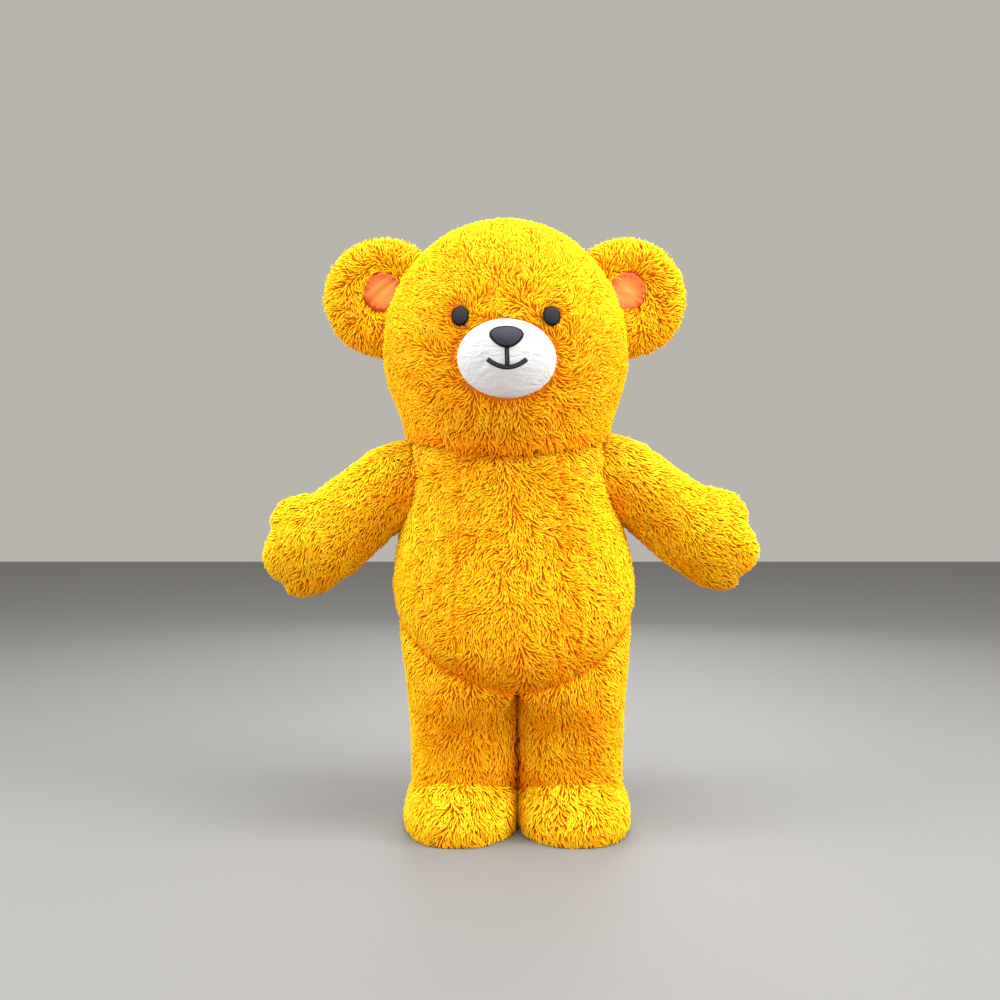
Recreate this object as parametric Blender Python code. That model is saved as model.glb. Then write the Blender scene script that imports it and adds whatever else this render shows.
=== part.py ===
"""Bear mascot costume: a walk-about suit of long golden plush, in its worn, hollow shape.

Metres, +Z up, front towards -Y. Left is -X. Heights in this file are measured from the soles; the
whole suit hangs from an empty that puts the wearer's shoulder line at the origin. A point of a cloth
form is asked for with a depth: 0 is the tips of the pile and WALL is the inner face of the cloth.
"""

import math

import bmesh
import bpy
import numpy as np
from mathutils import Vector
from mathutils.bvhtree import BVHTree

# ---------------------------------------------------------------- sizes
WALL = 0.016            # backing cloth and standing pile together
SEAM_GAP = 0.0004       # between two forms that meet
LYING_GAP = 0.0014      # under what lies on a panel, whose faces stand up between its points
PANEL_SHIFT = 0.0003    # panels of one form move apart by this at their seams
HOLD_HEIGHT = 1.270     # wearer's shoulder line over the soles
CROWN_HEIGHT = 2.000
NECK_HEIGHT = 1.300     # rim of the neck opening inside the head
SHOULDER_HEIGHT = 1.285  # neck seam at the sides
CHEST_DIP = 0.050       # neck seam falls by this at the front
NAPE_DIP = 0.035        # and by this at the back
SEAM_CURVE = 1.5        # how late the neck and ankle seams leave their height at the sides
HIP_HEIGHT = 0.690      # belly seam at the sides
BELLY_DIP = 0.210       # belly seam falls by this at the front and back
BELLY_CURVE = 1.7       # the same for the belly seam
COLUMN = 9              # degrees between columns of the body and head
PRINCESS_ANGLE = 27     # front panel seams, either side of the centre front
CORNER_ANGLE = 115      # where a leg turns from its outer side to the inseam
SECTION_POWER = 2.5     # squareness of leg and foot sections
CROTCH_X = 0.0005       # inseam off the centre plane at the crotch
FOOT_LINE = 0.120       # ankle seam height at the sides and heel
INSTEP_RISE = 0.052     # ankle seam rises by this at the front
SOLE_THICKNESS = 0.012
PILE_OVER_FLOOR = 0.003
RAY_NUDGE = 2e-5
SHARP_ANGLE = 40        # degrees; edges sharper than this are shaded as edges
# sideways lean of the stance: at the feet, at the head, and the heights between which it comes in
LEAN_FEET = 0.006
LEAN_HEAD = -0.034
LEAN_START = 0.3
LEAN_END = 1.8

# columns: rise to neck opening, drop to belly seam, half width, front depth, back depth, inset, sink
BODY_ROWS = (
    (1.00, 0.000, 0.185, 0.165, 0.165, 0.0, 1.0),
    (0.80, 0.000, 0.240, 0.205, 0.205, 0.0, 1.0),
    (0.30, 0.000, 0.290, 0.246, 0.236, 0.4, 1.0),
    (0.00, 0.035, 0.318, 0.271, 0.257, 1.0, 0.8),
    (0.00, 0.100, 0.330, 0.284, 0.268, 1.0, 0.2),
    (0.00, 0.180, 0.332, 0.292, 0.274, 1.0, 0.0),
    (0.00, 0.310, 0.342, 0.306, 0.284, 1.0, 0.0),
    (0.00, 0.500, 0.369, 0.334, 0.302, 1.0, 0.0),
    (0.00, 0.670, 0.392, 0.356, 0.316, 1.0, 0.0),
    (0.00, 0.820, 0.402, 0.362, 0.318, 1.0, 0.0),
    (0.00, 0.930, 0.397, 0.342, 0.300, 1.0, -0.3),
    (0.00, 1.000, 0.384, 0.300, 0.262, 0.9, -0.6),
)
BODY_STEPS = 14

# columns: drop from the crown, half width, front depth, back depth (below the widest ring)
HEAD_ROWS = (
    (0.600, 0.409, 0.376, 0.358),
    (0.690, 0.404, 0.374, 0.354),
    (0.775, 0.386, 0.360, 0.342),
    (0.860, 0.363, 0.338, 0.322),
    (0.930, 0.346, 0.314, 0.300),
    (0.975, 0.333, 0.292, 0.278),
    (1.000, 0.298, 0.252, 0.240),
)
HEAD_RIM_DROP = 0.020   # head rim under the neck seam line
RIM_SEAT = 0.0012       # over the round of the shoulders, which stands up between the rim's two edges
RIM_CLEARANCE = 0.004   # cloth just over the rim stands off the shoulders by this
RIM_SHARE = 0.85        # from this share of the head down
DOME_STEPS = 6
JAW_STEPS = 7

# columns: x and height of the top, x and height of the underside, depth
SLEEVE_ROWS = (
    (0.240, 1.246, 0.285, 1.017, 0.117),
    (0.335, 1.270, 0.372, 0.982, 0.128),
    (0.424, 1.270, 0.382, 0.974, 0.136),
    (0.490, 1.229, 0.390, 0.968, 0.137),
    (0.545, 1.190, 0.402, 0.957, 0.135),
    (0.600, 1.151, 0.447, 0.914, 0.130),
    (0.658, 1.110, 0.500, 0.865, 0.124),
)
SLEEVE_START = 2.0 / 6.0        # row whose points are cast back on the body
SLEEVE_STEPS = 6
ROOT_STEPS = 3                  # straight stretch through the armhole
ARMHOLE_GAP = 0.0008
# columns: name, side, drop of that arm, its reach over the common one
ARMS = (("left", -1, 0.024, 0.010), ("right", 1, 0.000, -0.004))
ARM_COLUMN = 18
HAND_COLUMN = 12
HAND_STEPS = 6
HAND_FLARE = 0.022              # hand wider than wrist, each side
HAND_LIFT = 0.017               # hand centre over the arm's centre
HAND_SWELL = 0.7                # how soon the hand is wider than the wrist
HAND_FULLNESS = 0.8             # how late its thickness runs out towards the fingertips
# columns: place across the hand from the thumb side, 1, to the little finger side, -1; reach past the wrist
HAND_REACH = (
    (-1.00, 0.165), (-0.85, 0.226), (-0.62, 0.253), (-0.42, 0.250), (-0.18, 0.265), (0.06, 0.266),
    (0.28, 0.252), (0.46, 0.220), (0.60, 0.182), (0.74, 0.170), (0.88, 0.150), (1.00, 0.105),
)

# columns: share of the leg's length, inner x, outer x, front depth, back depth
LEG_ROWS = (
    (0.00, 0.0005, 0.384, 0.300, 0.262),
    (0.15, 0.0010, 0.371, 0.272, 0.246),
    (0.35, 0.0014, 0.362, 0.250, 0.230),
    (0.60, 0.0018, 0.355, 0.234, 0.215),
    (0.80, 0.0020, 0.350, 0.223, 0.204),
    (1.00, 0.0020, 0.350, 0.216, 0.197),
)
LEG_STEPS = 7
LEG_BLEND = 0.45                # share of the leg over which the belly seam's form runs out
LEG_BLEND_CURVE = 1.5
# columns: share of the ankle seam's height, inner x, outer x, front depth, back depth
FOOT_ROWS = (
    (1.00, 0.0020, 0.350, 0.216, 0.197),
    (0.86, 0.0018, 0.358, 0.246, 0.199),
    (0.62, 0.0018, 0.366, 0.282, 0.200),
    (0.36, 0.0018, 0.371, 0.303, 0.201),
    (0.14, 0.0040, 0.368, 0.304, 0.197),
    (0.00, 0.0110, 0.360, 0.297, 0.190),
)
FOOT_STEPS = 6
# degrees: round the outside in step with the body's columns, then across the inseam
LEG_COLUMNS = tuple(step * COLUMN * CORNER_ANGLE / 90 for step in range(90 // COLUMN + 1)) + (137, 158, 180)

EAR_X = 0.405
EAR_HEIGHT = 1.744
EAR_RADIUS = 0.195
EAR_HALF_THICKNESS = 0.058
EAR_DISH = 0.022                # how far the front sinks in its middle
EAR_DISH_SHARE = 0.7            # share of the radius that sinks
EAR_GRID = (5, 24)              # rings and columns
EAR_PATCH_RADIUS = 0.070
EAR_PATCH_RISE = 0.014
EAR_PATCH_GRID = (3, 20)
SATIN_THICKNESS = 0.003

MUZZLE_HEIGHT = 1.492
MUZZLE_SIZE = (0.150, 0.118)    # half width, half height
MUZZLE_DEPTH = 0.066
MUZZLE_EDGE = 0.008
MUZZLE_ROUND = (2.4, 0.75)      # exponents of its domed section
MUZZLE_GRID = (6, 28)
FACE_SINK = 0.004               # muzzle and eyes are made this far into the face, then trimmed
NOSE_SIZE = (0.047, 0.033)
NOSE_RISE = 0.052
NOSE_DEPTH = 0.016
NOSE_ROUND = 2.5
NOSE_TAPER = 0.30               # top wider and bottom narrower than the middle
NOSE_GRID = (3, 20)
MOUTH_UNDER_NOSE = 0.001
MOUTH_STEPS = 3
APPLIQUE = 0.004
STROKE = 0.0055                 # half width of the mouth's strokes
SMILE_HALF = 0.0575             # half width of the smile's circle
SMILE_TURN = 80                 # degrees of it, each way
SMILE_STEPS = 16
SMILE_SAG = 0.024               # middle of the smile under its ends
SMILE_DROP = 0.066              # smile junction under the nose's middle
EYE_X = 0.138
EYE_HEIGHT = 1.622
EYE_SIZE = (0.027, 0.031)
EYE_DEPTH = 0.013
EYE_ROUND = 0.7
EYE_GRID = (3, 16)

# ---------------------------------------------------------------- materials
# columns: name, colour, roughness
FINISHES = {
    "golden_plush": ((0.83, 0.42, 0.03), 0.95),
    "orange_satin": ((0.90, 0.25, 0.06), 0.55),
    "white_plush": ((0.86, 0.86, 0.85), 0.90),
    "charcoal_felt": ((0.035, 0.037, 0.045), 0.80),
    "sole_rubber": ((0.07, 0.065, 0.06), 0.85),
}


def finish(node_name, slot):
    """A material of the piece's own, with the slot's colour and roughness."""
    colour, roughness = FINISHES[slot]
    material = bpy.data.materials.new(f"{slot}_{node_name}")
    material.use_nodes = True
    shader = material.node_tree.nodes["Principled BSDF"]
    shader.inputs["Base Color"].default_value = (*colour, 1.0)
    shader.inputs["Roughness"].default_value = roughness
    shader.inputs["Metallic"].default_value = 0.0
    return material


# ---------------------------------------------------------------- curves and tables
def row_at(rows, share):
    """Values of a table at a share from 0 to 1 of its rows, on a smooth curve through them."""
    table = np.asarray(rows, float)
    place = share * (len(table) - 1)
    low = max(0, min(int(place), len(table) - 2))
    t = place - low
    before = table[max(low - 1, 0)]
    start = table[low]
    end = table[low + 1]
    after = table[min(low + 2, len(table) - 1)]
    return (start
            + 0.5 * t * (end - before)
            + t * t * (before - 2.5 * start + 2.0 * end - 0.5 * after)
            + t ** 3 * (1.5 * (start - end) + 0.5 * (after - before)))


def power(value, exponent):
    """Signed power, for the rounded-square sections."""
    return math.copysign(abs(value) ** exponent, value)


def span(first, last, count):
    """Count steps from first to last, both included."""
    return [first + (last - first) * i / count for i in range(count + 1)]


def lean(height):
    """Sideways place of the suit's centre line at a height."""
    t = min(1.0, max(0.0, (height - LEAN_START) / (LEAN_END - LEAN_START)))
    return LEAN_FEET + (LEAN_HEAD - LEAN_FEET) * t * t * (3 - 2 * t)


# ---------------------------------------------------------------- forms
def neck_seam(angle):
    """Height of the seam between head and body. Angle 0 is the right side and -90 the front."""
    fall = CHEST_DIP if math.sin(angle) < 0 else NAPE_DIP
    return SHOULDER_HEIGHT - fall * abs(math.sin(angle)) ** SEAM_CURVE


def belly_seam(angle):
    """Height of the seam between body and legs."""
    return HIP_HEIGHT - BELLY_DIP * abs(math.sin(angle)) ** BELLY_CURVE


def body(angle, share, depth):
    """Point of the body, from the neck opening at share 0 to the belly seam at share 1."""
    rise, drop, half, front, back, inset, sink = row_at(BODY_ROWS, share)
    top = neck_seam(angle)
    height = top + rise * (NECK_HEIGHT - top) - drop * (top - belly_seam(angle)) - depth * sink
    reach = front if math.sin(angle) < 0 else back
    return Vector(((half - depth * inset) * math.cos(angle),
                   (reach - depth * inset) * math.sin(angle),
                   height))


def head(angle, share, depth, seat=None):
    """Point of the head: share 0 is the crown, 0.5 the widest ring and 1 the rim that sits on the body."""
    rim = neck_seam(angle) - HEAD_RIM_DROP
    widest_drop, widest, front, back = HEAD_ROWS[0]
    if share <= 0.5:
        polar = math.pi * share
        half = (widest - depth) * math.sin(polar)
        reach = (front if math.sin(angle) < 0 else back) - depth
        reach *= math.sin(polar)
        drop = widest_drop * (1 - math.cos(polar))
        height = CROWN_HEIGHT - drop * (CROWN_HEIGHT - rim) - depth * math.cos(polar)
    else:
        drop, half, front, back = row_at(HEAD_ROWS, 2 * share - 1)
        half -= depth
        reach = (front if math.sin(angle) < 0 else back) - depth
        height = CROWN_HEIGHT - drop * (CROWN_HEIGHT - rim)
    point = Vector((half * math.cos(angle), reach * math.sin(angle), height))
    if seat and share >= 1:
        point.z = seat(point.x, point.y) + RIM_SEAT
    elif seat and share > RIM_SHARE:
        point.z = max(point.z, seat(point.x, point.y) + RIM_CLEARANCE)
    return point


def sleeve(angle, share, depth):
    """Point of the right sleeve: angle 0 is its top and 90 its front; share 1 is the wrist."""
    top_x, top_z, low_x, low_z, reach = row_at(SLEEVE_ROWS, share)
    middle = Vector(((top_x + low_x) / 2, 0, (top_z + low_z) / 2))
    up = Vector(((top_x - low_x) / 2, 0, (top_z - low_z) / 2))
    up *= 1 - depth / up.length
    return middle + up * math.cos(angle) + Vector((0, -(reach - depth) * math.sin(angle), 0))


def reach_of_hand(across):
    """How far the hand goes past the wrist at a place across it."""
    places = [row[0] for row in HAND_REACH]
    low = max(0, min(int(np.searchsorted(places, across, side="right")) - 1, len(places) - 2))
    t = (across - places[low]) / (places[low + 1] - places[low])
    return row_at(HAND_REACH, (low + t) / (len(places) - 1))[1]


def hand(angle, share, depth):
    """Point of the right hand: share 0 is the wrist and 1 the seam round the fingertips."""
    top_x, top_z, low_x, low_z, reach = SLEEVE_ROWS[-1]
    middle = Vector(((top_x + low_x) / 2, 0, (top_z + low_z) / 2))
    up = Vector((top_x - low_x, 0, top_z - low_z))
    half = up.length / 2
    up.normalize()
    along = Vector((up.z, 0, -up.x))
    polar = share * math.pi / 2
    swell = math.sin(polar) ** HAND_SWELL if share > 0 else 0.0
    across = math.cos(angle)
    width = half + HAND_FLARE * swell - depth
    length = (reach_of_hand(across) - depth) * math.sin(polar)
    thickness = (reach - depth) * math.cos(polar) ** HAND_FULLNESS if share < 1 else 0.0
    return (middle
            + up * (HAND_LIFT * swell + width * across)
            + along * length
            + Vector((0, -thickness * math.sin(angle), 0)))


def section(inner_x, outer_x, front, back, angle):
    """Rounded-square section of a right leg or foot. Angle 0 is the outer side and -90 the front."""
    half = (outer_x - inner_x) / 2
    reach = front if math.sin(angle) < 0 else back
    return (inner_x + half + half * power(math.cos(angle), 2 / SECTION_POWER),
            reach * power(math.sin(angle), 2 / SECTION_POWER))


def ankle_seam(angle):
    """Height of the seam between leg and foot."""
    return FOOT_LINE + INSTEP_RISE * max(0.0, -math.sin(angle)) ** SEAM_CURVE


def leg_top(angle, depth):
    """Upper edge of the right leg: the belly seam round its outside, the crotch along the centre plane."""
    corner = math.radians(CORNER_ANGLE)
    if abs(angle) <= corner:
        edge = body(angle * (math.pi / 2) / corner, 1.0, depth)
        edge.x = max(edge.x, CROTCH_X + depth)
    else:
        edge = body(math.copysign(math.pi / 2, angle), 1.0, depth)
        edge.y *= (math.pi - abs(angle)) / (math.pi - corner)
        edge.x = CROTCH_X + depth
    edge.z -= SEAM_GAP
    return edge


def leg(angle, share, depth):
    """Point of the right leg: share 0 is the belly seam and 1 the ankle seam."""
    _, inner_x, outer_x, front, back = row_at(LEG_ROWS, share)
    x, y = section(inner_x + depth, outer_x - depth, front - depth, back - depth, angle)
    top = leg_top(angle, depth)
    height = top.z + (ankle_seam(angle) - top.z) * share
    blend = max(0.0, 1 - share / LEG_BLEND) ** LEG_BLEND_CURVE
    return Vector((x + (top.x - x) * blend, y + (top.y - y) * blend, height))


def foot(angle, share, depth):
    """Point of the right foot: share 0 is the ankle seam and 1 the edge at the floor."""
    level, inner_x, outer_x, front, back = row_at(FOOT_ROWS, share)
    x, y = section(inner_x + depth, outer_x - depth, front - depth, back - depth, angle)
    top = ankle_seam(angle) - SEAM_GAP
    return Vector((x, y, PILE_OVER_FLOOR + (top - PILE_OVER_FLOOR) * level))


def mirrored(form, side, fall=0.0, reach=0.0):
    """The same form on the other side, lower, or further out."""
    def placed(angle, share, depth):
        point = form(angle, share, depth)
        return Vector(((point.x + reach) * side, point.y, point.z - fall))
    return placed


# ---------------------------------------------------------------- solids
def turn_outward(mesh):
    """Join doubled points and make every face of a closed mesh point out."""
    bmesh.ops.remove_doubles(mesh, verts=mesh.verts, dist=1e-6)
    bmesh.ops.dissolve_degenerate(mesh, edges=mesh.edges, dist=1e-7)
    bmesh.ops.recalc_face_normals(mesh, faces=mesh.faces)
    if mesh.calc_volume(signed=True) < 0:
        bmesh.ops.reverse_faces(mesh, faces=mesh.faces)


def solid(outer, inner, closed=False):
    """Closed mesh between two grids of points, rows first; closed joins each row's ends."""
    mesh = bmesh.new()
    grids = [[[mesh.verts.new(point) for point in row] for row in grid] for grid in (outer, inner)]
    columns = len(outer[0])
    last = columns if closed else columns - 1

    def face(*corners):
        mesh.faces.new(corners)

    for row in range(len(outer) - 1):
        for column in range(last):
            following = (column + 1) % columns
            for grid, order in zip(grids, (1, -1)):
                quad = (grid[row][column], grid[row][following],
                        grid[row + 1][following], grid[row + 1][column])
                face(*quad[::order])
    for row, order in ((0, -1), (len(outer) - 1, 1)):
        for column in range(last):
            following = (column + 1) % columns
            quad = (grids[0][row][column], grids[0][row][following],
                    grids[1][row][following], grids[1][row][column])
            face(*quad[::order])
    if not closed:
        for column, order in ((0, 1), (columns - 1, -1)):
            for row in range(len(outer) - 1):
                quad = (grids[0][row][column], grids[0][row + 1][column],
                        grids[1][row + 1][column], grids[1][row][column])
                face(*quad[::order])
    turn_outward(mesh)
    bmesh.ops.triangulate(mesh, faces=[f for f in mesh.faces if len(f.verts) == 4])
    return mesh


def cloth(form, angles, shares, closed=False):
    """Solid of a cloth wall over part of a form. Angles are in degrees."""
    grids = [[[form(math.radians(angle), share, depth) for angle in angles] for share in shares]
             for depth in (0.0, WALL)]
    return solid(*grids, closed)


def filled(form, angles, shares, depth=0.0):
    """Solid inside a form's rings, its two ends closed flat."""
    mesh = bmesh.new()
    rings = [[mesh.verts.new(form(math.radians(angle), share, depth)) for angle in angles]
             for share in shares]
    for low, high in zip(rings, rings[1:]):
        for column in range(len(angles)):
            following = (column + 1) % len(angles)
            mesh.faces.new((low[column], low[following], high[following], high[column]))
    mesh.faces.new(rings[0][::-1])
    mesh.faces.new(rings[-1])
    turn_outward(mesh)
    bmesh.ops.triangulate(mesh, faces=[f for f in mesh.faces if len(f.verts) == 4])
    return mesh


def add_piece(name, mesh, slot, shift=(0, 0, 0)):
    """Pose a solid with the stance's lean and make it a named object under the suit's empty.

    Returns the object and a search tree of the solid as it was before the lean. No slot makes a hidden cutter.
    """
    tree = BVHTree.FromBMesh(mesh)
    for vertex in mesh.verts:
        vertex.co.x += lean(vertex.co.z)
    data = bpy.data.meshes.new(name)
    mesh.to_mesh(data)
    mesh.free()
    data.shade_smooth()
    data.set_sharp_from_angle(angle=math.radians(SHARP_ANGLE))
    piece = bpy.data.objects.new(name, data)
    bpy.context.scene.collection.objects.link(piece)
    piece.parent = SUIT
    piece.location = shift
    if slot:
        data.materials.append(finish(name, slot))
    else:
        piece.hide_render = True
        piece.display_type = "WIRE"
    return piece, tree


def cut(piece, cutter):
    """Take a cutter out of a piece."""
    boolean = piece.modifiers.new(cutter.name, "BOOLEAN")
    boolean.operation = "DIFFERENCE"
    boolean.solver = "EXACT"
    boolean.object = cutter


def cast(trees, start, direction):
    """First point that a ray meets on any of the trees. Rays a hair apart keep it from slipping into a seam."""
    hits = [tree.ray_cast(start + Vector((nudge, nudge, nudge)), direction)
            for tree in trees for nudge in (0.0, RAY_NUDGE, -RAY_NUDGE)]
    return min((hit for hit in hits if hit[0] is not None), key=lambda hit: hit[3])[0]


# ---------------------------------------------------------------- body
def build_body():
    """Five panels: three at the front, two at the back that close at the centre."""
    shares = span(0.0, 1.0, BODY_STEPS)
    princess = PRINCESS_ANGLE
    # columns: name, first angle, last angle, sideways shift, shift to the back
    panels = (
        ("body_front_centre", -90 - princess, -90 + princess, 0, 0),
        ("body_front_left", -180, -90 - princess, -1, 0),
        ("body_front_right", -90 + princess, 0, 1, 0),
        ("body_back_left", 90, 180, -1, 1),
        ("body_back_right", 0, 90, 1, 1),
    )
    pieces = []
    trees = []
    for name, first, last, sideways, backwards in panels:
        angles = span(first, last, round((last - first) / COLUMN))
        shift = (sideways * PANEL_SHIFT, (backwards - 0.5) * PANEL_SHIFT, 0)
        piece, tree = add_piece(name, cloth(body, angles, shares), "golden_plush", shift)
        pieces.append(piece)
        trees.append(tree)
    return pieces, trees


# ---------------------------------------------------------------- arms
def build_arms(body_pieces, body_trees):
    """Sleeves that start inside the armholes, and the mitten hands sewn to their wrists."""
    top_x, top_z, low_x, low_z, _ = SLEEVE_ROWS[-1]
    wrist = Vector((top_z - low_z, 0, low_x - top_x)).normalized()
    for name, side, fall, reach in ARMS:
        form = mirrored(sleeve, side, fall, reach)

        def root(angle, share, depth, form=form):
            return form(angle, 0.0, depth).lerp(form(angle, SLEEVE_START, depth), share)

        def rooted(angle, share, depth, form=form, root=root):
            point = form(angle, max(share, SLEEVE_START), depth)
            if share >= SLEEVE_START:
                return point
            inward = root(angle, 0.0, depth) - point
            meeting = cast(body_trees, point, inward)
            deeper = meeting + inward.normalized() * (0.5 * WALL)
            return deeper.lerp(point, share / SLEEVE_START)

        shares = span(0.0, SLEEVE_START, ROOT_STEPS)[:-1] + span(SLEEVE_START, 1.0, SLEEVE_STEPS - 1)
        hand_form = mirrored(hand, side, fall, reach)
        wrist_shift = Vector((wrist.x * side, 0, wrist.z)) * SEAM_GAP
        for half, first in (("front", 0), ("back", 180)):
            shift = Vector((0, (-0.5 if half == "front" else 0.5) * PANEL_SHIFT, 0))
            angles = span(first, first + 180, 180 // ARM_COLUMN)
            add_piece(f"sleeve_{name}_{half}", cloth(rooted, angles, shares), "golden_plush", shift)
            angles = span(first, first + 180, 180 // HAND_COLUMN)
            add_piece(f"hand_{name}_{half}", cloth(hand_form, angles, span(0.0, 1.0, HAND_STEPS)),
                      "golden_plush", shift + wrist_shift)
        angles = span(0, 360 - ARM_COLUMN, 360 // ARM_COLUMN - 1)
        cutter, _ = add_piece(f"armhole_cutter_{name}",
                              filled(root, angles, span(0.0, 1.0, 2 * ROOT_STEPS), -ARMHOLE_GAP), None)
        for piece in body_pieces:
            if name in piece.name:
                cut(piece, cutter)


# ---------------------------------------------------------------- legs and feet
def build_legs():
    """Front and back panels of each leg, toe and heel panels of each foot, and the soles."""
    for name, side in (("left", -1), ("right", 1)):
        leg_form = mirrored(leg, side)
        foot_form = mirrored(foot, side)
        for half, sign in (("front", -1), ("back", 1)):
            angles = [sign * angle for angle in LEG_COLUMNS]
            shift = (0, sign * PANEL_SHIFT / 2, 0)
            add_piece(f"leg_{name}_{half}", cloth(leg_form, angles, span(0.0, 1.0, LEG_STEPS)),
                      "golden_plush", shift)
            panel = "toe" if half == "front" else "heel"
            add_piece(f"foot_{name}_{panel}", cloth(foot_form, angles, span(0.0, 1.0, FOOT_STEPS)),
                      "golden_plush", shift)
        angles = list(LEG_COLUMNS) + [-angle for angle in LEG_COLUMNS[-2:0:-1]]
        add_piece(f"sole_{name}", sole(foot_form, angles), "sole_rubber")


def sole(form, angles):
    """Flat sole inside the foot's lower edge."""
    mesh = bmesh.new()
    rings = []
    for height in (0.0, SOLE_THICKNESS):
        points = [form(math.radians(angle), 1.0, WALL + SEAM_GAP) for angle in angles]
        rings.append([mesh.verts.new((point.x, point.y, height)) for point in points])
    mesh.faces.new(rings[0])
    mesh.faces.new(rings[1])
    for column in range(len(angles)):
        following = (column + 1) % len(angles)
        mesh.faces.new((rings[0][column], rings[0][following], rings[1][following], rings[1][column]))
    turn_outward(mesh)
    return mesh


# ---------------------------------------------------------------- head
def build_head(body_trees):
    """Face panel and two back panels, open at the neck."""
    down = Vector((0, 0, -1))

    def seat(x, y):
        return cast(body_trees, Vector((x, y, CROWN_HEIGHT)), down).z

    def seated(angle, share, depth):
        return head(angle, share, depth, seat)

    shares = span(0.0, 0.5, DOME_STEPS) + span(0.5, 1.0, JAW_STEPS)[1:]
    columns = 90 // COLUMN
    # columns: name, first angle, last angle, shift
    panels = (
        ("head_face", -180, 0, (0, -PANEL_SHIFT / 2, 0)),
        ("head_back_left", 90, 180, (-PANEL_SHIFT, PANEL_SHIFT / 2, 0)),
        ("head_back_right", 0, 90, (PANEL_SHIFT, PANEL_SHIFT / 2, 0)),
    )
    face_tree = None
    for name, first, last, shift in panels:
        angles = span(first, last, (last - first) // 90 * columns)
        _, tree = add_piece(name, cloth(seated, angles, shares), "golden_plush", shift)
        face_tree = face_tree or tree
    return face_tree


def disc(grid, middle, outline, place):
    """Rows of points over an outline: a middle point, then rings out to the edge."""
    rings, columns = grid
    rows = []
    for ring in range(rings + 1):
        share = ring / rings
        row = []
        for column in range(columns):
            x, z = outline(2 * math.pi * column / columns)
            row.append(place(middle[0] + x * share, middle[1] + z * share, share))
        rows.append(row)
    return rows


def oval(half_width, half_height):
    """Outline of an oval."""
    def outline(angle):
        return half_width * math.cos(angle), half_height * math.sin(angle)
    return outline


def raised(tree, grid, middle, outline, lift, base=LYING_GAP):
    """Closed solid on a surface that faces the front, from base over it to lift(share) over that."""
    forward = Vector((0, 1, 0))

    def lying(x, z, share):
        return cast([tree], Vector((x, -1, z)), forward) - forward * base

    def standing(x, z, share):
        return lying(x, z, share) - forward * lift(share)

    inner = disc(grid, middle, outline, lying)
    outer = disc(grid, middle, outline, standing)
    return solid(outer, inner, closed=True)


def build_face(face_tree, head_cutter):
    """Padded muzzle with its nose and mouth, and the two eyes. Muzzle and eyes are trimmed to the face."""
    def muzzle_lift(share):
        return FACE_SINK + MUZZLE_EDGE + MUZZLE_DEPTH * (1 - share ** MUZZLE_ROUND[0]) ** MUZZLE_ROUND[1]

    def nose_outline(angle):
        taper = 1 + NOSE_TAPER * math.sin(angle)
        return NOSE_SIZE[0] * math.cos(angle) * taper, NOSE_SIZE[1] * math.sin(angle)

    def nose_lift(share):
        return APPLIQUE + NOSE_DEPTH * (1 - share ** NOSE_ROUND)

    def eye_lift(share):
        return FACE_SINK + APPLIQUE + EYE_DEPTH * (1 - share ** 2) ** EYE_ROUND

    padding = raised(face_tree, MUZZLE_GRID, (0, MUZZLE_HEIGHT), oval(*MUZZLE_SIZE), muzzle_lift, -FACE_SINK)
    muzzle, muzzle_tree = add_piece("muzzle", padding, "white_plush")
    cut(muzzle, head_cutter)

    nose_height = MUZZLE_HEIGHT + NOSE_RISE
    nose = raised(muzzle_tree, NOSE_GRID, (0, nose_height), nose_outline, nose_lift)
    add_piece("nose", nose, "charcoal_felt")

    junction = nose_height - SMILE_DROP
    drop = [(0.0, height) for height in span(nose_height - NOSE_SIZE[1] - MOUTH_UNDER_NOSE,
                                             junction - SMILE_SAG + STROKE + SEAM_GAP, MOUTH_STEPS)]
    add_piece("mouth_line", stroke(muzzle_tree, drop), "charcoal_felt")
    turns = [math.radians(angle) for angle in span(-SMILE_TURN, SMILE_TURN, SMILE_STEPS)]
    smile = [(SMILE_HALF * math.sin(turn), junction - SMILE_SAG * math.cos(turn) ** 2) for turn in turns]
    add_piece("mouth_smile", stroke(muzzle_tree, smile), "charcoal_felt")

    for name, side in (("left", -1), ("right", 1)):
        eye = raised(face_tree, EYE_GRID, (side * EYE_X, EYE_HEIGHT), oval(*EYE_SIZE), eye_lift, -FACE_SINK)
        piece, _ = add_piece(f"eye_{name}", eye, "charcoal_felt")
        cut(piece, head_cutter)


def stroke(tree, path):
    """Flat strip of applique along a path of x and height on a surface facing the front."""
    forward = Vector((0, 1, 0))
    points = [Vector((x, 0, z)) for x, z in path]
    grids = ([], [])
    for index, point in enumerate(points):
        along = points[min(index + 1, len(points) - 1)] - points[max(index - 1, 0)]
        along.normalize()
        side = Vector((along.z, 0, -along.x))
        for grid, lift in zip(grids, (APPLIQUE + LYING_GAP, LYING_GAP)):
            row = []
            for offset in (-STROKE, 0.0, STROKE):
                place = point + side * offset
                on = cast([tree], Vector((place.x, -1, place.z)), forward)
                row.append(on - forward * lift)
            grid.append(row)
    return solid(*grids)


def build_head_cutter():
    """The whole inside of the head, a seam's gap larger, to trim what is sewn onto it."""
    angles = span(-180, 180 - COLUMN, 360 // COLUMN - 1)
    shares = span(0.0, 0.5, DOME_STEPS) + span(0.5, 1.0, JAW_STEPS)[1:-1]
    cutter, _ = add_piece("head_cutter", filled(head, angles, shares, -SEAM_GAP), None)
    return cutter


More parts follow.
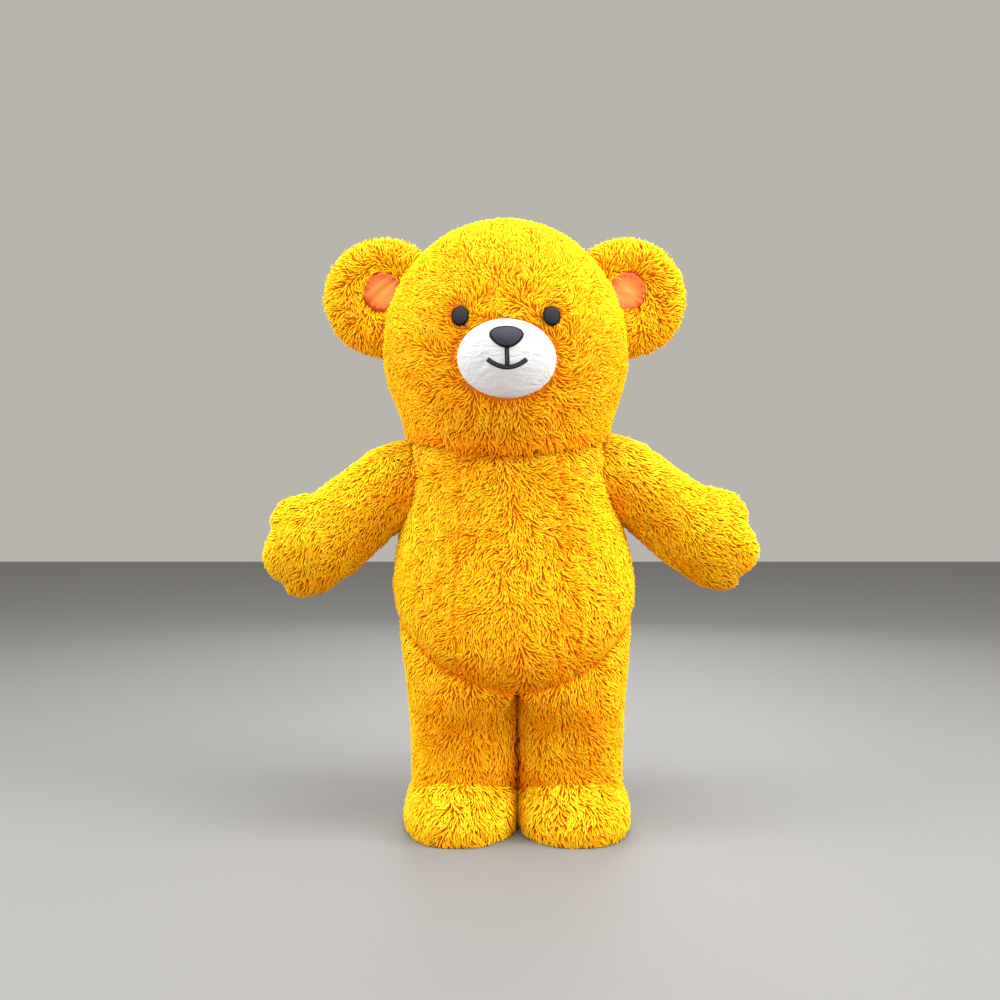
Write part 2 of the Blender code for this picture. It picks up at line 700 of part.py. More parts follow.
def build_ears(cutter):
    """Round filled ears of two halves, with a satin patch in the dished front. The head trims all of them."""
    def round_off(share):
        return EAR_HALF_THICKNESS * (1 - share ** 3) ** 0.5

    def front(x, z, share):
        dish = EAR_DISH * max(0.0, 1 - (share / EAR_DISH_SHARE) ** 2) ** 1.5
        return Vector((x, dish - round_off(share) - PANEL_SHIFT / 2, z))

    def flat_front(x, z, share):
        return Vector((x, -PANEL_SHIFT / 2, z))

    def flat_back(x, z, share):
        return Vector((x, PANEL_SHIFT / 2, z))

    def back(x, z, share):
        return Vector((x, round_off(share) + PANEL_SHIFT / 2, z))

    def half_ear(name, middle, *places):
        grids = [disc(EAR_GRID, middle, oval(EAR_RADIUS, EAR_RADIUS), place) for place in places]
        piece, tree = add_piece(name, solid(*grids, closed=True), "golden_plush")
        cut(piece, cutter)
        return tree

    for name, side in (("left", -1), ("right", 1)):
        middle = (side * EAR_X, EAR_HEIGHT)
        half_ear(f"ear_{name}_back", middle, back, flat_back)
        tree = half_ear(f"ear_{name}_front", middle, front, flat_front)
        patch = raised(tree, EAR_PATCH_GRID, (middle[0], middle[1] + EAR_PATCH_RISE),
                       oval(EAR_PATCH_RADIUS, EAR_PATCH_RADIUS), lambda share: SATIN_THICKNESS)
        piece, _ = add_piece(f"ear_{name}_inner", patch, "orange_satin")
        cut(piece, cutter)


# ---------------------------------------------------------------- the suit
for old in list(bpy.data.objects):
    bpy.data.objects.remove(old)
SUIT = bpy.data.objects.new("held_on_shoulders", None)
SUIT.location = (0, 0, -HOLD_HEIGHT)
bpy.context.scene.collection.objects.link(SUIT)

panels_of_body, trees_of_body = build_body()
build_arms(panels_of_body, trees_of_body)
build_legs()
tree_of_face = build_head(trees_of_body)
cutter_of_head = build_head_cutter()
build_face(tree_of_face, cutter_of_head)
build_ears(cutter_of_head)
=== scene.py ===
"""Bear mascot costume, dressed: backing cloth, locks of pile, padded muzzle, applique and sewing.

Metres in the row frame: +Z up, front towards -Y, the wearer's shoulder line at the origin. Left is -X, the
side on the left when the suit is seen from the front.
The forms repeat the CAD model's, in heights over the soles, and posed() brings them to the row frame.
A point of a form is asked for with a depth: 0 is the tips of the pile, CLOTH_OUT and CLOTH_IN the faces of
the backing.
"""

import math
from functools import partial

import bmesh
import bpy
import numpy as np
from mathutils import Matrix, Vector
from mathutils.bvhtree import BVHTree


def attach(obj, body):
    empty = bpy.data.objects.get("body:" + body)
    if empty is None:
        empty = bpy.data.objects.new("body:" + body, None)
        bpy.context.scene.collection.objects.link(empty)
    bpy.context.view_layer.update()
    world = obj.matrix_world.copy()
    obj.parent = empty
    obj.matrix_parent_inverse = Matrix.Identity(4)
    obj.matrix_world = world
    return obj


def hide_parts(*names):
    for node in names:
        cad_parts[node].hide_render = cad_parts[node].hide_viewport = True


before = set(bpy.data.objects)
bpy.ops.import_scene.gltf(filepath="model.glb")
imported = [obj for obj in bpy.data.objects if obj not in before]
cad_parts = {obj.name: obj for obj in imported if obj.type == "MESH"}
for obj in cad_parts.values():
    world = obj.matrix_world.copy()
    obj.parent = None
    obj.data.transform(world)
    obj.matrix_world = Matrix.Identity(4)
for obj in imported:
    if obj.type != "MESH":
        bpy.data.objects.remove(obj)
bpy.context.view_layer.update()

# ---- sizes of the forms
HOLD_HEIGHT = 1.270
CROWN_HEIGHT = 2.000
NECK_HEIGHT = 1.300
SHOULDER_HEIGHT = 1.285
CHEST_DIP = 0.050
NAPE_DIP = 0.035
SEAM_CURVE = 1.5
HIP_HEIGHT = 0.690
BELLY_DIP = 0.210
BELLY_CURVE = 1.7
CORNER = math.radians(115)      # where a leg turns from its outer side to the inseam
INNER_EXTRA = 1.2               # squarer where the legs press together
SECTION_POWER = 2.5
CROTCH_X = 0.0005
FOOT_LINE = 0.120
INSTEP_RISE = 0.052
PILE_OVER_FLOOR = 0.003
LEAN_FEET, LEAN_HEAD = 0.006, -0.034
LEAN_START, LEAN_END = 0.3, 1.8
PRINCESS_ANGLE = 27

# columns: rise to neck opening, drop to belly seam, half width, front depth, back depth, inset, sink
BODY_ROWS = (
    (1.00, 0.000, 0.185, 0.165, 0.165, 0.0, 1.0),
    (0.80, 0.000, 0.240, 0.205, 0.205, 0.0, 1.0),
    (0.30, 0.000, 0.290, 0.246, 0.236, 0.4, 1.0),
    (0.00, 0.035, 0.318, 0.271, 0.257, 1.0, 0.8),
    (0.00, 0.100, 0.330, 0.284, 0.268, 1.0, 0.2),
    (0.00, 0.180, 0.332, 0.292, 0.274, 1.0, 0.0),
    (0.00, 0.310, 0.342, 0.306, 0.284, 1.0, 0.0),
    (0.00, 0.500, 0.369, 0.334, 0.302, 1.0, 0.0),
    (0.00, 0.670, 0.392, 0.356, 0.316, 1.0, 0.0),
    (0.00, 0.820, 0.402, 0.362, 0.318, 1.0, 0.0),
    (0.00, 0.930, 0.397, 0.342, 0.300, 1.0, -0.3),
    (0.00, 1.000, 0.384, 0.300, 0.262, 0.9, -0.6),
)
# columns: drop from the crown, half width, front depth, back depth (below the widest ring)
HEAD_ROWS = (
    (0.600, 0.409, 0.376, 0.358),
    (0.690, 0.404, 0.374, 0.354),
    (0.775, 0.386, 0.360, 0.342),
    (0.860, 0.363, 0.338, 0.322),
    (0.930, 0.346, 0.314, 0.300),
    (0.975, 0.333, 0.292, 0.278),
    (1.000, 0.298, 0.252, 0.240),
)
HEAD_RIM_DROP = 0.020
# columns: x and height of the top, x and height of the underside, depth
SLEEVE_ROWS = (
    (0.240, 1.246, 0.285, 1.017, 0.117),
    (0.335, 1.270, 0.372, 0.982, 0.128),
    (0.424, 1.270, 0.382, 0.974, 0.136),
    (0.490, 1.229, 0.390, 0.968, 0.137),
    (0.545, 1.190, 0.402, 0.957, 0.135),
    (0.600, 1.151, 0.447, 0.914, 0.130),
    (0.658, 1.110, 0.500, 0.865, 0.124),
)
SLEEVE_START = 2.0 / 6.0
SHOULDER_RISE = 0.06            # of the cloth over the straight run into the armhole, at its top
# columns: name, side, drop of that arm, its reach over the common one
ARMS = (("left", -1, 0.024, 0.010), ("right", 1, 0.000, -0.004))
HAND_FLARE = 0.022
HAND_LIFT = 0.017
HAND_SWELL = 0.7
HAND_FULLNESS = 0.8
# columns: place across the hand from the thumb side, 1, to the little finger side, -1; reach past the wrist
HAND_REACH = (
    (-1.00, 0.165), (-0.85, 0.226), (-0.62, 0.253), (-0.42, 0.250), (-0.18, 0.265), (0.06, 0.266),
    (0.28, 0.252), (0.46, 0.220), (0.60, 0.182), (0.74, 0.170), (0.88, 0.150), (1.00, 0.105),
)
# columns: share of the leg's length, inner x, outer x, front depth, back depth
LEG_ROWS = (
    (0.00, 0.0005, 0.384, 0.300, 0.262),
    (0.15, 0.0010, 0.371, 0.272, 0.246),
    (0.35, 0.0014, 0.362, 0.250, 0.230),
    (0.60, 0.0018, 0.355, 0.234, 0.215),
    (0.80, 0.0020, 0.350, 0.223, 0.204),
    (1.00, 0.0020, 0.350, 0.216, 0.197),
)
LEG_BLEND = 0.45
LEG_BLEND_CURVE = 1.5
# columns: share of the ankle seam's height, inner x, outer x, front depth, back depth
FOOT_ROWS = (
    (1.00, 0.0020, 0.350, 0.216, 0.197),
    (0.86, 0.0018, 0.358, 0.246, 0.199),
    (0.62, 0.0018, 0.366, 0.282, 0.200),
    (0.36, 0.0018, 0.371, 0.303, 0.201),
    (0.14, 0.0040, 0.368, 0.304, 0.197),
    (0.00, 0.0110, 0.360, 0.297, 0.190),
)
EAR_X = 0.405
EAR_HEIGHT = 1.744
EAR_RADIUS = 0.195
EAR_HALF_THICKNESS = 0.058
EAR_DISH = 0.022
EAR_DISH_SHARE = 0.7
EAR_PATCH_RADIUS = 0.070
EAR_PATCH_RISE = 0.014
MUZZLE_HEIGHT = 1.492
MUZZLE_SIZE = (0.150, 0.118)
MUZZLE_DEPTH = 0.066
MUZZLE_EDGE = 0.008
MUZZLE_ROUND = (2.4, 0.75)
NOSE_SIZE = (0.047, 0.033)
NOSE_RISE = 0.052
NOSE_DEPTH = 0.016
NOSE_ROUND = 2.5
NOSE_TAPER = 0.30
MOUTH_UNDER_NOSE = 0.001
APPLIQUE = 0.004                # height of the felt pieces
FELT_EDGE = 0.0008              # and of their edges
FELT_BACK = 0.001               # how far they reach into the muzzle
STROKE = 0.0055
SMILE_HALF = 0.0575
SMILE_TURN = 80
SMILE_SAG = 0.024
SMILE_DROP = 0.066
EYE_X = 0.138
EYE_HEIGHT = 1.622
EYE_SIZE = (0.027, 0.031)
EYE_DEPTH = 0.013

# ---- cloth and pile
CLOTH_OUT = 0.0118              # depth of the backing's face under the tips of the pile
CLOTH_IN = 0.0146               # and of its inner face
LOCK_LENGTH = (0.017, 0.029)    # along the cloth
LOCK_HEIGHT = (0.0082, 0.0120)  # over the cloth
LOCK_WIDTH = (0.0044, 0.0062)
LOCK_RIDGE = 0.0023             # of the middle of a lock over its edges
LOCK_BEND = 0.016
LOCK_WAVE = 0.0026
LOCK_STRAY = 0.35               # how much higher the loose locks stand
LOCK_STRAY_FROM = 0.86          # the draw from which a lock is loose
LOCK_TONES = 48                 # steps of tone, each a column of the pile's texture coordinates
LOCK_ARCH = 1.8                 # how soon a lock rises
LOCK_RUN = 1.3                  # and how late it moves on along the cloth
LOCK_SNAKE = 7.5                # turn of its wave, in radians
FLOOR_GAP = 0.0006              # between pile and floor
SEAM_SHORT = 0.009              # pile is shorter this near a seam
SEAM_PAINTED_SHADE = 0.014               # and deeper in tone: painted shade of the seam's crease, where the roots also show
# widths of the patches in which locks turn, swirl, rise, bend, wave and change tone together
TURN_PATCH, SWIRL_PATCH, RISE_PATCH, BEND_PATCH, WAVE_PATCH, TONE_PATCH = 0.10, 0.036, 0.024, 0.035, 0.03, 0.06
SPREAD = (0.754877666, 0.569840291)     # steps that fill a square evenly
BARE_NECK_ROWS = 14             # rows of the body's cloth inside the head, without pile
SLEEVE_ROOT = 0.013             # how far a sleeve's cloth reaches into the body
SHARP_EDGE = math.radians(50)
# of the front pieces, and of the back pieces and heels; columns: locks to a square metre, times their usual
# width, places along a lock, and its share of that width there
FINE_PILE = (20000, 1.05, (0.0, 0.36, 0.72, 1.0), (0.75, 1.0, 0.8, 0.0))
PLAIN_PILE = (15000, 1.5, (0.0, 0.55, 1.0), (0.8, 1.0, 0.0))
SIDES = (("left", -1), ("right", 1))
RNG = np.random.default_rng(47)


# ---- curves and tables
def vec(x, y, z):
    """Points from their coordinates."""
    return np.stack(np.broadcast_arrays(x, y, z), -1).astype(float)


def smooth(low, high, value):
    """0 below low, 1 above high, and a smooth way between."""
    t = np.clip((np.asarray(value, float) - low) / (high - low), 0.0, 1.0)
    return t * t * (3 - 2 * t)


def unit(vectors):
    """Vectors of length 1."""
    return vectors / np.maximum(np.linalg.norm(vectors, axis=-1, keepdims=True), 1e-9)


def dot(a, b):
    """Dot products, kept as a last column."""
    return (a * b).sum(-1, keepdims=True)


def row_at(rows, share):
    """Columns of a table at shares from 0 to 1 of its rows, on a smooth curve through them."""
    table = np.asarray(rows, float)
    place = np.asarray(share, float) * (len(table) - 1)
    low = np.clip(place.astype(int), 0, len(table) - 2)
    t = (place - low)[..., None]
    before, start = table[np.maximum(low - 1, 0)], table[low]
    end, after = table[low + 1], table[np.minimum(low + 2, len(table) - 1)]
    values = (start + 0.5 * t * (end - before)
              + t * t * (before - 2.5 * start + 2.0 * end - 0.5 * after)
              + t ** 3 * (1.5 * (start - end) + 0.5 * (after - before)))
    return np.moveaxis(values, -1, 0)


def lean(height):
    """Sideways place of the suit's centre line at a height."""
    return LEAN_FEET + (LEAN_HEAD - LEAN_FEET) * smooth(LEAN_START, LEAN_END, height)


def posed(points):
    """Points of the upright forms, brought to the row frame in the leaning stance."""
    points = np.array(points, float)
    points[..., 0] += lean(points[..., 2])
    points[..., 2] -= HOLD_HEIGHT
    return points


def upright(points):
    """Place across from the suit's centre line, place in depth and height of posed points."""
    height = points[..., 2] + HOLD_HEIGHT
    return points[..., 0] - lean(height), points[..., 1], height


# ---- forms
def by_facing(angle, front, back):
    """The front's value where an angle points forwards. Angle 0 is the right side and -90 degrees the front."""
    return np.where(np.sin(angle) < 0, front, back)


def neck_seam(angle):
    """Height of the seam between head and body."""
    return SHOULDER_HEIGHT - by_facing(angle, CHEST_DIP, NAPE_DIP) * np.abs(np.sin(angle)) ** SEAM_CURVE


def belly_seam(angle):
    """Height of the seam between body and legs."""
    return HIP_HEIGHT - BELLY_DIP * np.abs(np.sin(angle)) ** BELLY_CURVE


def body(angle, share, depth):
    """Body, from the neck opening at share 0 to the belly seam at share 1."""
    rise, drop, half, front, back, inset, sink = row_at(BODY_ROWS, share)
    top = neck_seam(angle)
    height = top + rise * (NECK_HEIGHT - top) - drop * (top - belly_seam(angle)) - depth * sink
    reach = by_facing(angle, front, back)
    return vec((half - depth * inset) * np.cos(angle), (reach - depth * inset) * np.sin(angle), height)


def head(angle, share, depth):
    """Head: share 0 is the crown, 0.5 the widest ring and 1 the rim that sits on the body."""
    angle, share = np.broadcast_arrays(angle, share)
    to_rim = CROWN_HEIGHT - (neck_seam(angle) - HEAD_RIM_DROP)
    polar = math.pi * np.minimum(share, 0.5)
    drop, *reaches = row_at(HEAD_ROWS, np.maximum(2 * share - 1, 0))
    dome = share <= 0.5
    half, front, back = (np.where(dome, (widest - depth) * np.sin(polar), reach - depth)
                         for widest, reach in zip(HEAD_ROWS[0][1:], reaches))
    drop = np.where(dome, HEAD_ROWS[0][0] * (1 - np.cos(polar)), drop)
    height = CROWN_HEIGHT - drop * to_rim - np.where(dome, depth * np.cos(polar), 0)
    return vec(half * np.cos(angle), by_facing(angle, front, back) * np.sin(angle), height)


def sleeve(angle, share, depth):
    """Right sleeve: angle 0 is its top and 90 degrees its front; share 1 is the wrist."""
    top_x, top_z, low_x, low_z, reach = row_at(SLEEVE_ROWS, share)
    half = np.hypot(top_x - low_x, top_z - low_z) / 2
    fit = 1 - depth / half
    return vec((top_x + low_x) / 2 + fit * (top_x - low_x) / 2 * np.cos(angle),
               -(reach - depth) * np.sin(angle),
               (top_z + low_z) / 2 + fit * (top_z - low_z) / 2 * np.cos(angle))


def hand(angle, share, depth):
    """Right hand: share 0 is the wrist and 1 the seam round the fingertips."""
    angle, share = np.broadcast_arrays(angle, share)
    top_x, top_z, low_x, low_z, reach = SLEEVE_ROWS[-1]
    half = math.hypot(top_x - low_x, top_z - low_z) / 2
    up_x, up_z = (top_x - low_x) / 2 / half, (top_z - low_z) / 2 / half
    polar = share * math.pi / 2
    swell = np.sin(polar) ** HAND_SWELL
    across = np.cos(angle)
    places = np.array([row[0] for row in HAND_REACH])
    low = np.clip(np.searchsorted(places, across, side="right") - 1, 0, len(places) - 2)
    step = (across - places[low]) / (places[low + 1] - places[low])
    longest = row_at(HAND_REACH, (low + step) / (len(places) - 1))[1]
    width = HAND_LIFT * swell + (half + HAND_FLARE * swell - depth) * across
    length = (longest - depth) * np.sin(polar)
    thickness = (reach - depth) * np.maximum(np.cos(polar), 0) ** HAND_FULLNESS
    return vec((top_x + low_x) / 2 + up_x * width + up_z * length,
               -thickness * np.sin(angle),
               (top_z + low_z) / 2 + up_z * width - up_x * length)


def section(inner_x, outer_x, front, back, angle, inner_power=SECTION_POWER):
    """Rounded-square section of a right leg or foot. Angle 0 is the outer side and -90 degrees the front."""
    half = (outer_x - inner_x) / 2
    power = np.where(np.cos(angle) < 0, inner_power, SECTION_POWER)

    def rounded(value):
        return np.sign(value) * np.abs(value) ** (2 / power)

    return inner_x + half + half * rounded(np.cos(angle)), by_facing(angle, front, back) * rounded(np.sin(angle))


def ankle_seam(angle):
    """Height of the seam between leg and foot."""
    return FOOT_LINE + INSTEP_RISE * np.maximum(0.0, -np.sin(angle)) ** SEAM_CURVE


def leg(angle, share, depth):
    """Right leg: share 0 is the belly seam and crotch, and 1 the ankle seam."""
    _, inner_x, outer_x, front, back = row_at(LEG_ROWS, share)
    flatter = SECTION_POWER + INNER_EXTRA * np.minimum(1, 5 * (1 - np.asarray(share)))
    x, y = section(inner_x + depth, outer_x - depth, front - depth, back - depth, angle, flatter)
    outside = np.abs(angle) <= CORNER
    round_angle = np.where(outside, angle * (math.pi / 2) / CORNER, np.sign(angle) * math.pi / 2)
    edge = body(round_angle, 1.0, depth)
    edge_x = np.where(outside, np.maximum(edge[..., 0], CROTCH_X + depth), CROTCH_X + depth)
    edge_y = edge[..., 1] * np.where(outside, 1.0, (math.pi - np.abs(angle)) / (math.pi - CORNER))
    height = edge[..., 2] + (ankle_seam(angle) - edge[..., 2]) * share
    blend = np.maximum(0.0, 1 - share / LEG_BLEND) ** LEG_BLEND_CURVE
    return vec(x + (edge_x - x) * blend, y + (edge_y - y) * blend, height)


def foot(angle, share, depth):
    """Right foot: share 0 is the ankle seam and 1 the edge at the floor."""
    level, inner_x, outer_x, front, back = row_at(FOOT_ROWS, share)
    x, y = section(inner_x + depth, outer_x - depth, front - depth, back - depth, angle)
    return vec(x, y, PILE_OVER_FLOOR + (ankle_seam(angle) - PILE_OVER_FLOOR) * level)


def ear_dome(facing, share, depth):
    """Distance of an ear's face from its middle plane; facing -1 is the dished front and 1 the back."""
    dome = (EAR_HALF_THICKNESS - depth) * np.sqrt(np.maximum(0, 1 - share ** 3))
    if facing < 0:
        dome = dome - EAR_DISH * np.maximum(0, 1 - (share / EAR_DISH_SHARE) ** 2) ** 1.5
    return dome


def ear(facing, angle, share, depth):
    """Right ear half: share 0 is its middle and 1 its rim."""
    return vec(EAR_X + (EAR_RADIUS - depth) * share * np.cos(angle),
               facing * ear_dome(facing, share, depth),
               EAR_HEIGHT + (EAR_RADIUS - depth) * share * np.sin(angle))


def mirrored(form, side, fall=0.0, reach=0.0):
    """The same form on the other side, lower, or further out."""
    def placed(angle, share, depth):
        points = form(angle, share, depth)
        return vec((points[..., 0] + reach) * side, points[..., 1], points[..., 2] - fall)
    return placed


def grid_of(form, degrees, shares, depth):
    """Posed points of part of a form, rows by share and columns by angle."""
    return posed(form(np.radians(degrees)[None, :], np.asarray(shares)[:, None], depth))


# ---- meshes
def quads_of(rows, columns, closed):
    """Corner numbers of the quads of a grid of points."""
    last = columns if closed else columns - 1
    row, column = np.meshgrid(np.arange(rows - 1), np.arange(last), indexing="ij")
    following = (column + 1) % columns
    return np.stack([row * columns + column, row * columns + following,
                     (row + 1) * columns + following, (row + 1) * columns + column], -1).reshape(-1, 4)


def new_object(name, data):
    """Object of a mesh, a lamp or a camera, put in the scene."""
    piece = bpy.data.objects.new(name, data)
    bpy.context.scene.collection.objects.link(piece)
    return piece


def make_mesh(name, points, faces):
    """Mesh object from points and faces, with doubled points joined and its faces turned out."""
    data = bpy.data.meshes.new(name)
    data.from_pydata([tuple(p) for p in points], [], [tuple(int(i) for i in f) for f in faces])
    mesh = bmesh.new()
    mesh.from_mesh(data)
    bmesh.ops.remove_doubles(mesh, verts=mesh.verts, dist=1e-5)
    bmesh.ops.dissolve_degenerate(mesh, edges=mesh.edges, dist=1e-6)
    bmesh.ops.recalc_face_normals(mesh, faces=mesh.faces)
    if mesh.calc_volume(signed=True) < 0:
        bmesh.ops.reverse_faces(mesh, faces=mesh.faces)
    mesh.to_mesh(data)
    mesh.free()
    data.shade_smooth()
    data.set_sharp_from_angle(angle=SHARP_EDGE)
    return new_object(name, data)


def capped_tube(name, grid, ends):
    """Closed mesh object of a round grid, with a fan over each of the end rows named."""
    rows, columns = grid.shape[:2]
    points = [grid.reshape(-1, 3)] + [[grid[row].mean(0)] for row in ends]
    faces = [tuple(f) for f in quads_of(rows, columns, True)]
    for number, row in enumerate(ends):
        first, middle = row * columns, rows * columns + number
        faces += [(first + i, first + (i + 1) % columns, middle) for i in range(columns)]
    return make_mesh(name, np.concatenate(points), faces)


def shell(name, outer, inner, closed=False):
    """Closed sheet between two grids of points."""
    rows, columns = outer.shape[:2]
    count = rows * columns
    outer_faces = quads_of(rows, columns, closed)
    faces = [outer_faces, outer_faces[:, ::-1] + count]
    rims = [np.arange(columns), (rows - 1) * columns + np.arange(columns)]
    if not closed:
        rims += [np.arange(rows) * columns, np.arange(rows) * columns + columns - 1]
    for rim in rims:
        if np.ptp(outer.reshape(-1, 3)[rim], axis=0).max() < 1e-6:
            continue
        following = np.roll(rim, -1)
        if not (closed and len(rim) == columns):
            rim, following = rim[:-1], rim[1:]
        faces.append(np.stack([rim, following, following + count, rim + count], -1))
    points = np.concatenate([outer.reshape(-1, 3), inner.reshape(-1, 3)])
    return make_mesh(name, points, np.concatenate(faces))


def tree_of(grid, closed=False):
    """Search tree of a grid's surface."""
    rows, columns = grid.shape[:2]
    return BVHTree.FromPolygons([Vector(p) for p in grid.reshape(-1, 3)],
                                [tuple(int(i) for i in f) for f in quads_of(rows, columns, closed)])


def carve(piece, cutter):
    """Take a closed cutter out of a piece, and bake the result."""
    boolean = piece.modifiers.new("cut", "BOOLEAN")
    boolean.operation = "DIFFERENCE"
    boolean.solver = "EXACT"
    boolean.object = cutter
    bpy.context.view_layer.update()
    evaluated = piece.evaluated_get(bpy.context.evaluated_depsgraph_get())
    baked = bpy.data.meshes.new_from_object(evaluated)
    piece.modifiers.clear()
    old = piece.data
    piece.data = baked
    bpy.data.meshes.remove(old)


def finish_piece(piece, node, material):
    """Material, body and slot of a piece, and the CAD node that it replaces."""
    piece.data.materials.clear()
    piece.data.materials.append(material)
    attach(piece, "root")
    if node:
        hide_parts(node)
    return piece


# ---- smooth noise
CELLS = 24
LATTICE = RNG.random((CELLS, CELLS, CELLS, 3)) * 2 - 1


def noise(points, size):
    """Three smooth random values from -1 to 1 at each point; size is the width of its lumps."""
    scaled = points / size
    low = np.floor(scaled).astype(int)
    t = scaled - low
    t = t * t * (3 - 2 * t)
    total = 0
    for corner in np.ndindex(2, 2, 2):
        weight = np.where(corner, t, 1 - t)
        weight = weight[..., 0] * weight[..., 1] * weight[..., 2]
        cell = (low + corner) % CELLS
        total = total + weight[..., None] * LATTICE[cell[..., 0], cell[..., 1], cell[..., 2]]
    return total


# ---- materials
def new_material(name, roughness, colour=(0.8, 0.8, 0.8), specular=0.3):
    """A Principled material, its node tree and its shader."""
    material = bpy.data.materials.new(name)
    material.use_nodes = True
    tree = material.node_tree
    shader = tree.nodes["Principled BSDF"]
    shader.inputs["Base Color"].default_value = (*colour, 1)
    shader.inputs["Roughness"].default_value = roughness
    shader.inputs["Specular IOR Level"].default_value = specular
    return material, tree, shader


def feed(tree, socket, value):
    """Set a socket to a number, or link it to another socket."""
    if isinstance(value, (int, float)):
        socket.default_value = value
    else:
        tree.links.new(value, socket)


def new_node(tree, kind, **values):
    """Shader node of a kind, with its inputs set or linked."""
    node = tree.nodes.new("ShaderNode" + kind)
    for name, value in values.items():
        feed(tree, node.inputs[name], value)
    return node


def ramp(tree, source, *stops):
    """Colour ramp of (place, colour) stops, fed by a socket."""
    node = new_node(tree, "ValToRGB", Fac=source)
    elements = node.color_ramp.elements
    while len(elements) < len(stops):
        elements.new(0.5)
    for element, (place, colour) in zip(elements, stops):
        element.position = place
        element.color = (*colour, 1)
    return node.outputs[0]


def paint(tree, shader, source, *stops):
    """Colour of a shader, from a ramp."""
    tree.links.new(ramp(tree, source, *stops), shader.inputs["Base Color"])


def attribute(tree, name):
    """Value stored on the points under a name."""
    node = tree.nodes.new("ShaderNodeAttribute")
    node.attribute_name = name
    return node.outputs["Fac"]


def math_node(tree, operation, *values):
    """Result of a sum on sockets and numbers."""
    node = tree.nodes.new("ShaderNodeMath")
    node.operation = operation
    for socket, value in zip(node.inputs, values):
        feed(tree, socket, value)
    return node.outputs[0]


def mixed(tree, factor, first, second, blend="MIX"):
    """Two colours mixed."""
    mix = tree.nodes.new("ShaderNodeMix")
    mix.data_type = "RGBA"
    mix.blend_type = blend
    for name, value in (("Factor", factor), ("A", first), ("B", second)):
        feed(tree, mix.inputs[name], value)
    return mix.outputs["Result"]


def add_bump(tree, shader, height, strength, distance):
    """Relief of a shader, from a height."""
    bump = new_node(tree, "Bump", Strength=strength, Distance=distance, Height=height)
    tree.links.new(bump.outputs["Normal"], shader.inputs["Normal"])
    return bump


def plush_material():
    """Pile: orange at its roots, golden along the locks and lemon at the tips, partly its own colour and partly
    painted shade deep in the pile and painted light at the tips. Each lock has a tone, which also carries painted
    light and shade, and is darker at its edges and paler on its crest, a painted shade and highlight of its
    rounded form."""
    material, tree, shader = new_material("golden_pile", 0.5, specular=0.03)
    along, tone, across = (attribute(tree, name) for name in ("along", "tone", "across"))
    # deep and light: shaded and lit copies of the pile's colour, mixed by the tone; their root to tip gradient is
    # partly painted shade and painted light
    deep = ramp(tree, along, (0.0, (0.70, 0.09, 0.0002)), (0.3, (0.88, 0.17, 0.0004)),
                (0.65, (0.98, 0.28, 0.0008)), (1.0, (1.0, 0.38, 0.003)))
    light = ramp(tree, along, (0.0, (0.80, 0.17, 0.0003)), (0.3, (0.94, 0.38, 0.001)),
                 (0.65, (0.98, 0.62, 0.005)), (1.0, (1.0, 0.85, 0.05)))
    # painted shade on each lock's flanks and a painted highlight, paler and bluer, along its crest
    edge = math_node(tree, "POWER", math_node(tree, "ABSOLUTE", across), 1.6)
    painted_flank_shade = ramp(tree, math_node(tree, "SUBTRACT", 1.0, edge),
                (0.0, (0.60, 0.18, 0.02)), (0.6, (1.0, 1.0, 0.35)), (1.0, (1.0, 1.0, 1.0)))
    colour = mixed(tree, 1.0, mixed(tree, tone, deep, light), painted_flank_shade, "MULTIPLY")
    tree.links.new(colour, shader.inputs["Base Color"])
    return material


def cloth_material():
    """Backing cloth under the pile, in the deep tone that shows between the locks: its own orange, deepened as
    painted shade of the gaps.
    """
    material, tree, shader = new_material("plush_backing", 0.9)
    nap = new_node(tree, "TexNoise", Scale=160).outputs["Fac"]
    paint(tree, shader, nap, (0.35, (0.62, 0.16, 0.0006)), (0.7, (0.78, 0.25, 0.001)))
    add_bump(tree, shader, nap, 0.6, 0.002)
    return material


def felt_material(name, low, high):
    """Felt or short pile in two close tones with a fine nap; gives its node tree, shader and relief too."""
    material, tree, shader = new_material(name, 0.85, specular=0.1)
    nap = new_node(tree, "TexNoise", Scale=380, Detail=4).outputs["Fac"]
    paint(tree, shader, nap, (0.3, low), (0.7, high))
    return material, tree, shader, add_bump(tree, shader, nap, 0.5, 0.0009)


def muzzle_material():
    """White short pile, crumpled where it is stretched over the padding."""
    material, tree, shader, nap = felt_material("white_short_pile", (0.69, 0.70, 0.715), (0.79, 0.80, 0.815))
    shader.inputs["Diffuse Roughness"].default_value = 1.0
    turned = new_node(tree, "Mapping", Vector=tree.nodes.new("ShaderNodeTexCoord").outputs["Object"])
    turned.inputs["Rotation"].default_value = (0, math.radians(-32), 0)
    turned.inputs["Scale"].default_value = (0.5, 1.0, 1.7)
    creases = new_node(tree, "TexNoise", Vector=turned.outputs["Vector"], Scale=34, Detail=3, Distortion=0.6)
    folds = new_node(tree, "Bump", Strength=0.9, Distance=0.012, Height=creases.outputs["Fac"])
    tree.links.new(folds.outputs["Normal"], nap.inputs["Normal"])
    return material


def satin_material():
    """Orange satin with a fine warp sheen, deeper towards its gathered rim as painted shade under the pile's
    edge.
    """
    material, tree, shader = new_material("orange_satin", 0.40, specular=0.35)
    # rim ramp: painted shade, deeper towards the patch's edge
    paint(tree, shader, attribute(tree, "rim"), (0.0, (0.82, 0.29, 0.055)), (0.5, (0.78, 0.22, 0.036)),
          (0.76, (0.70, 0.12, 0.012)), (0.94, (0.50, 0.05, 0.005)))
    weave = new_node(tree, "TexWave", Scale=420, Distortion=1.0)
    add_bump(tree, shader, weave.outputs["Fac"], 0.25, 0.0004)
    return material


GOLD_PILE = plush_material()
GOLD_CLOTH = cloth_material()


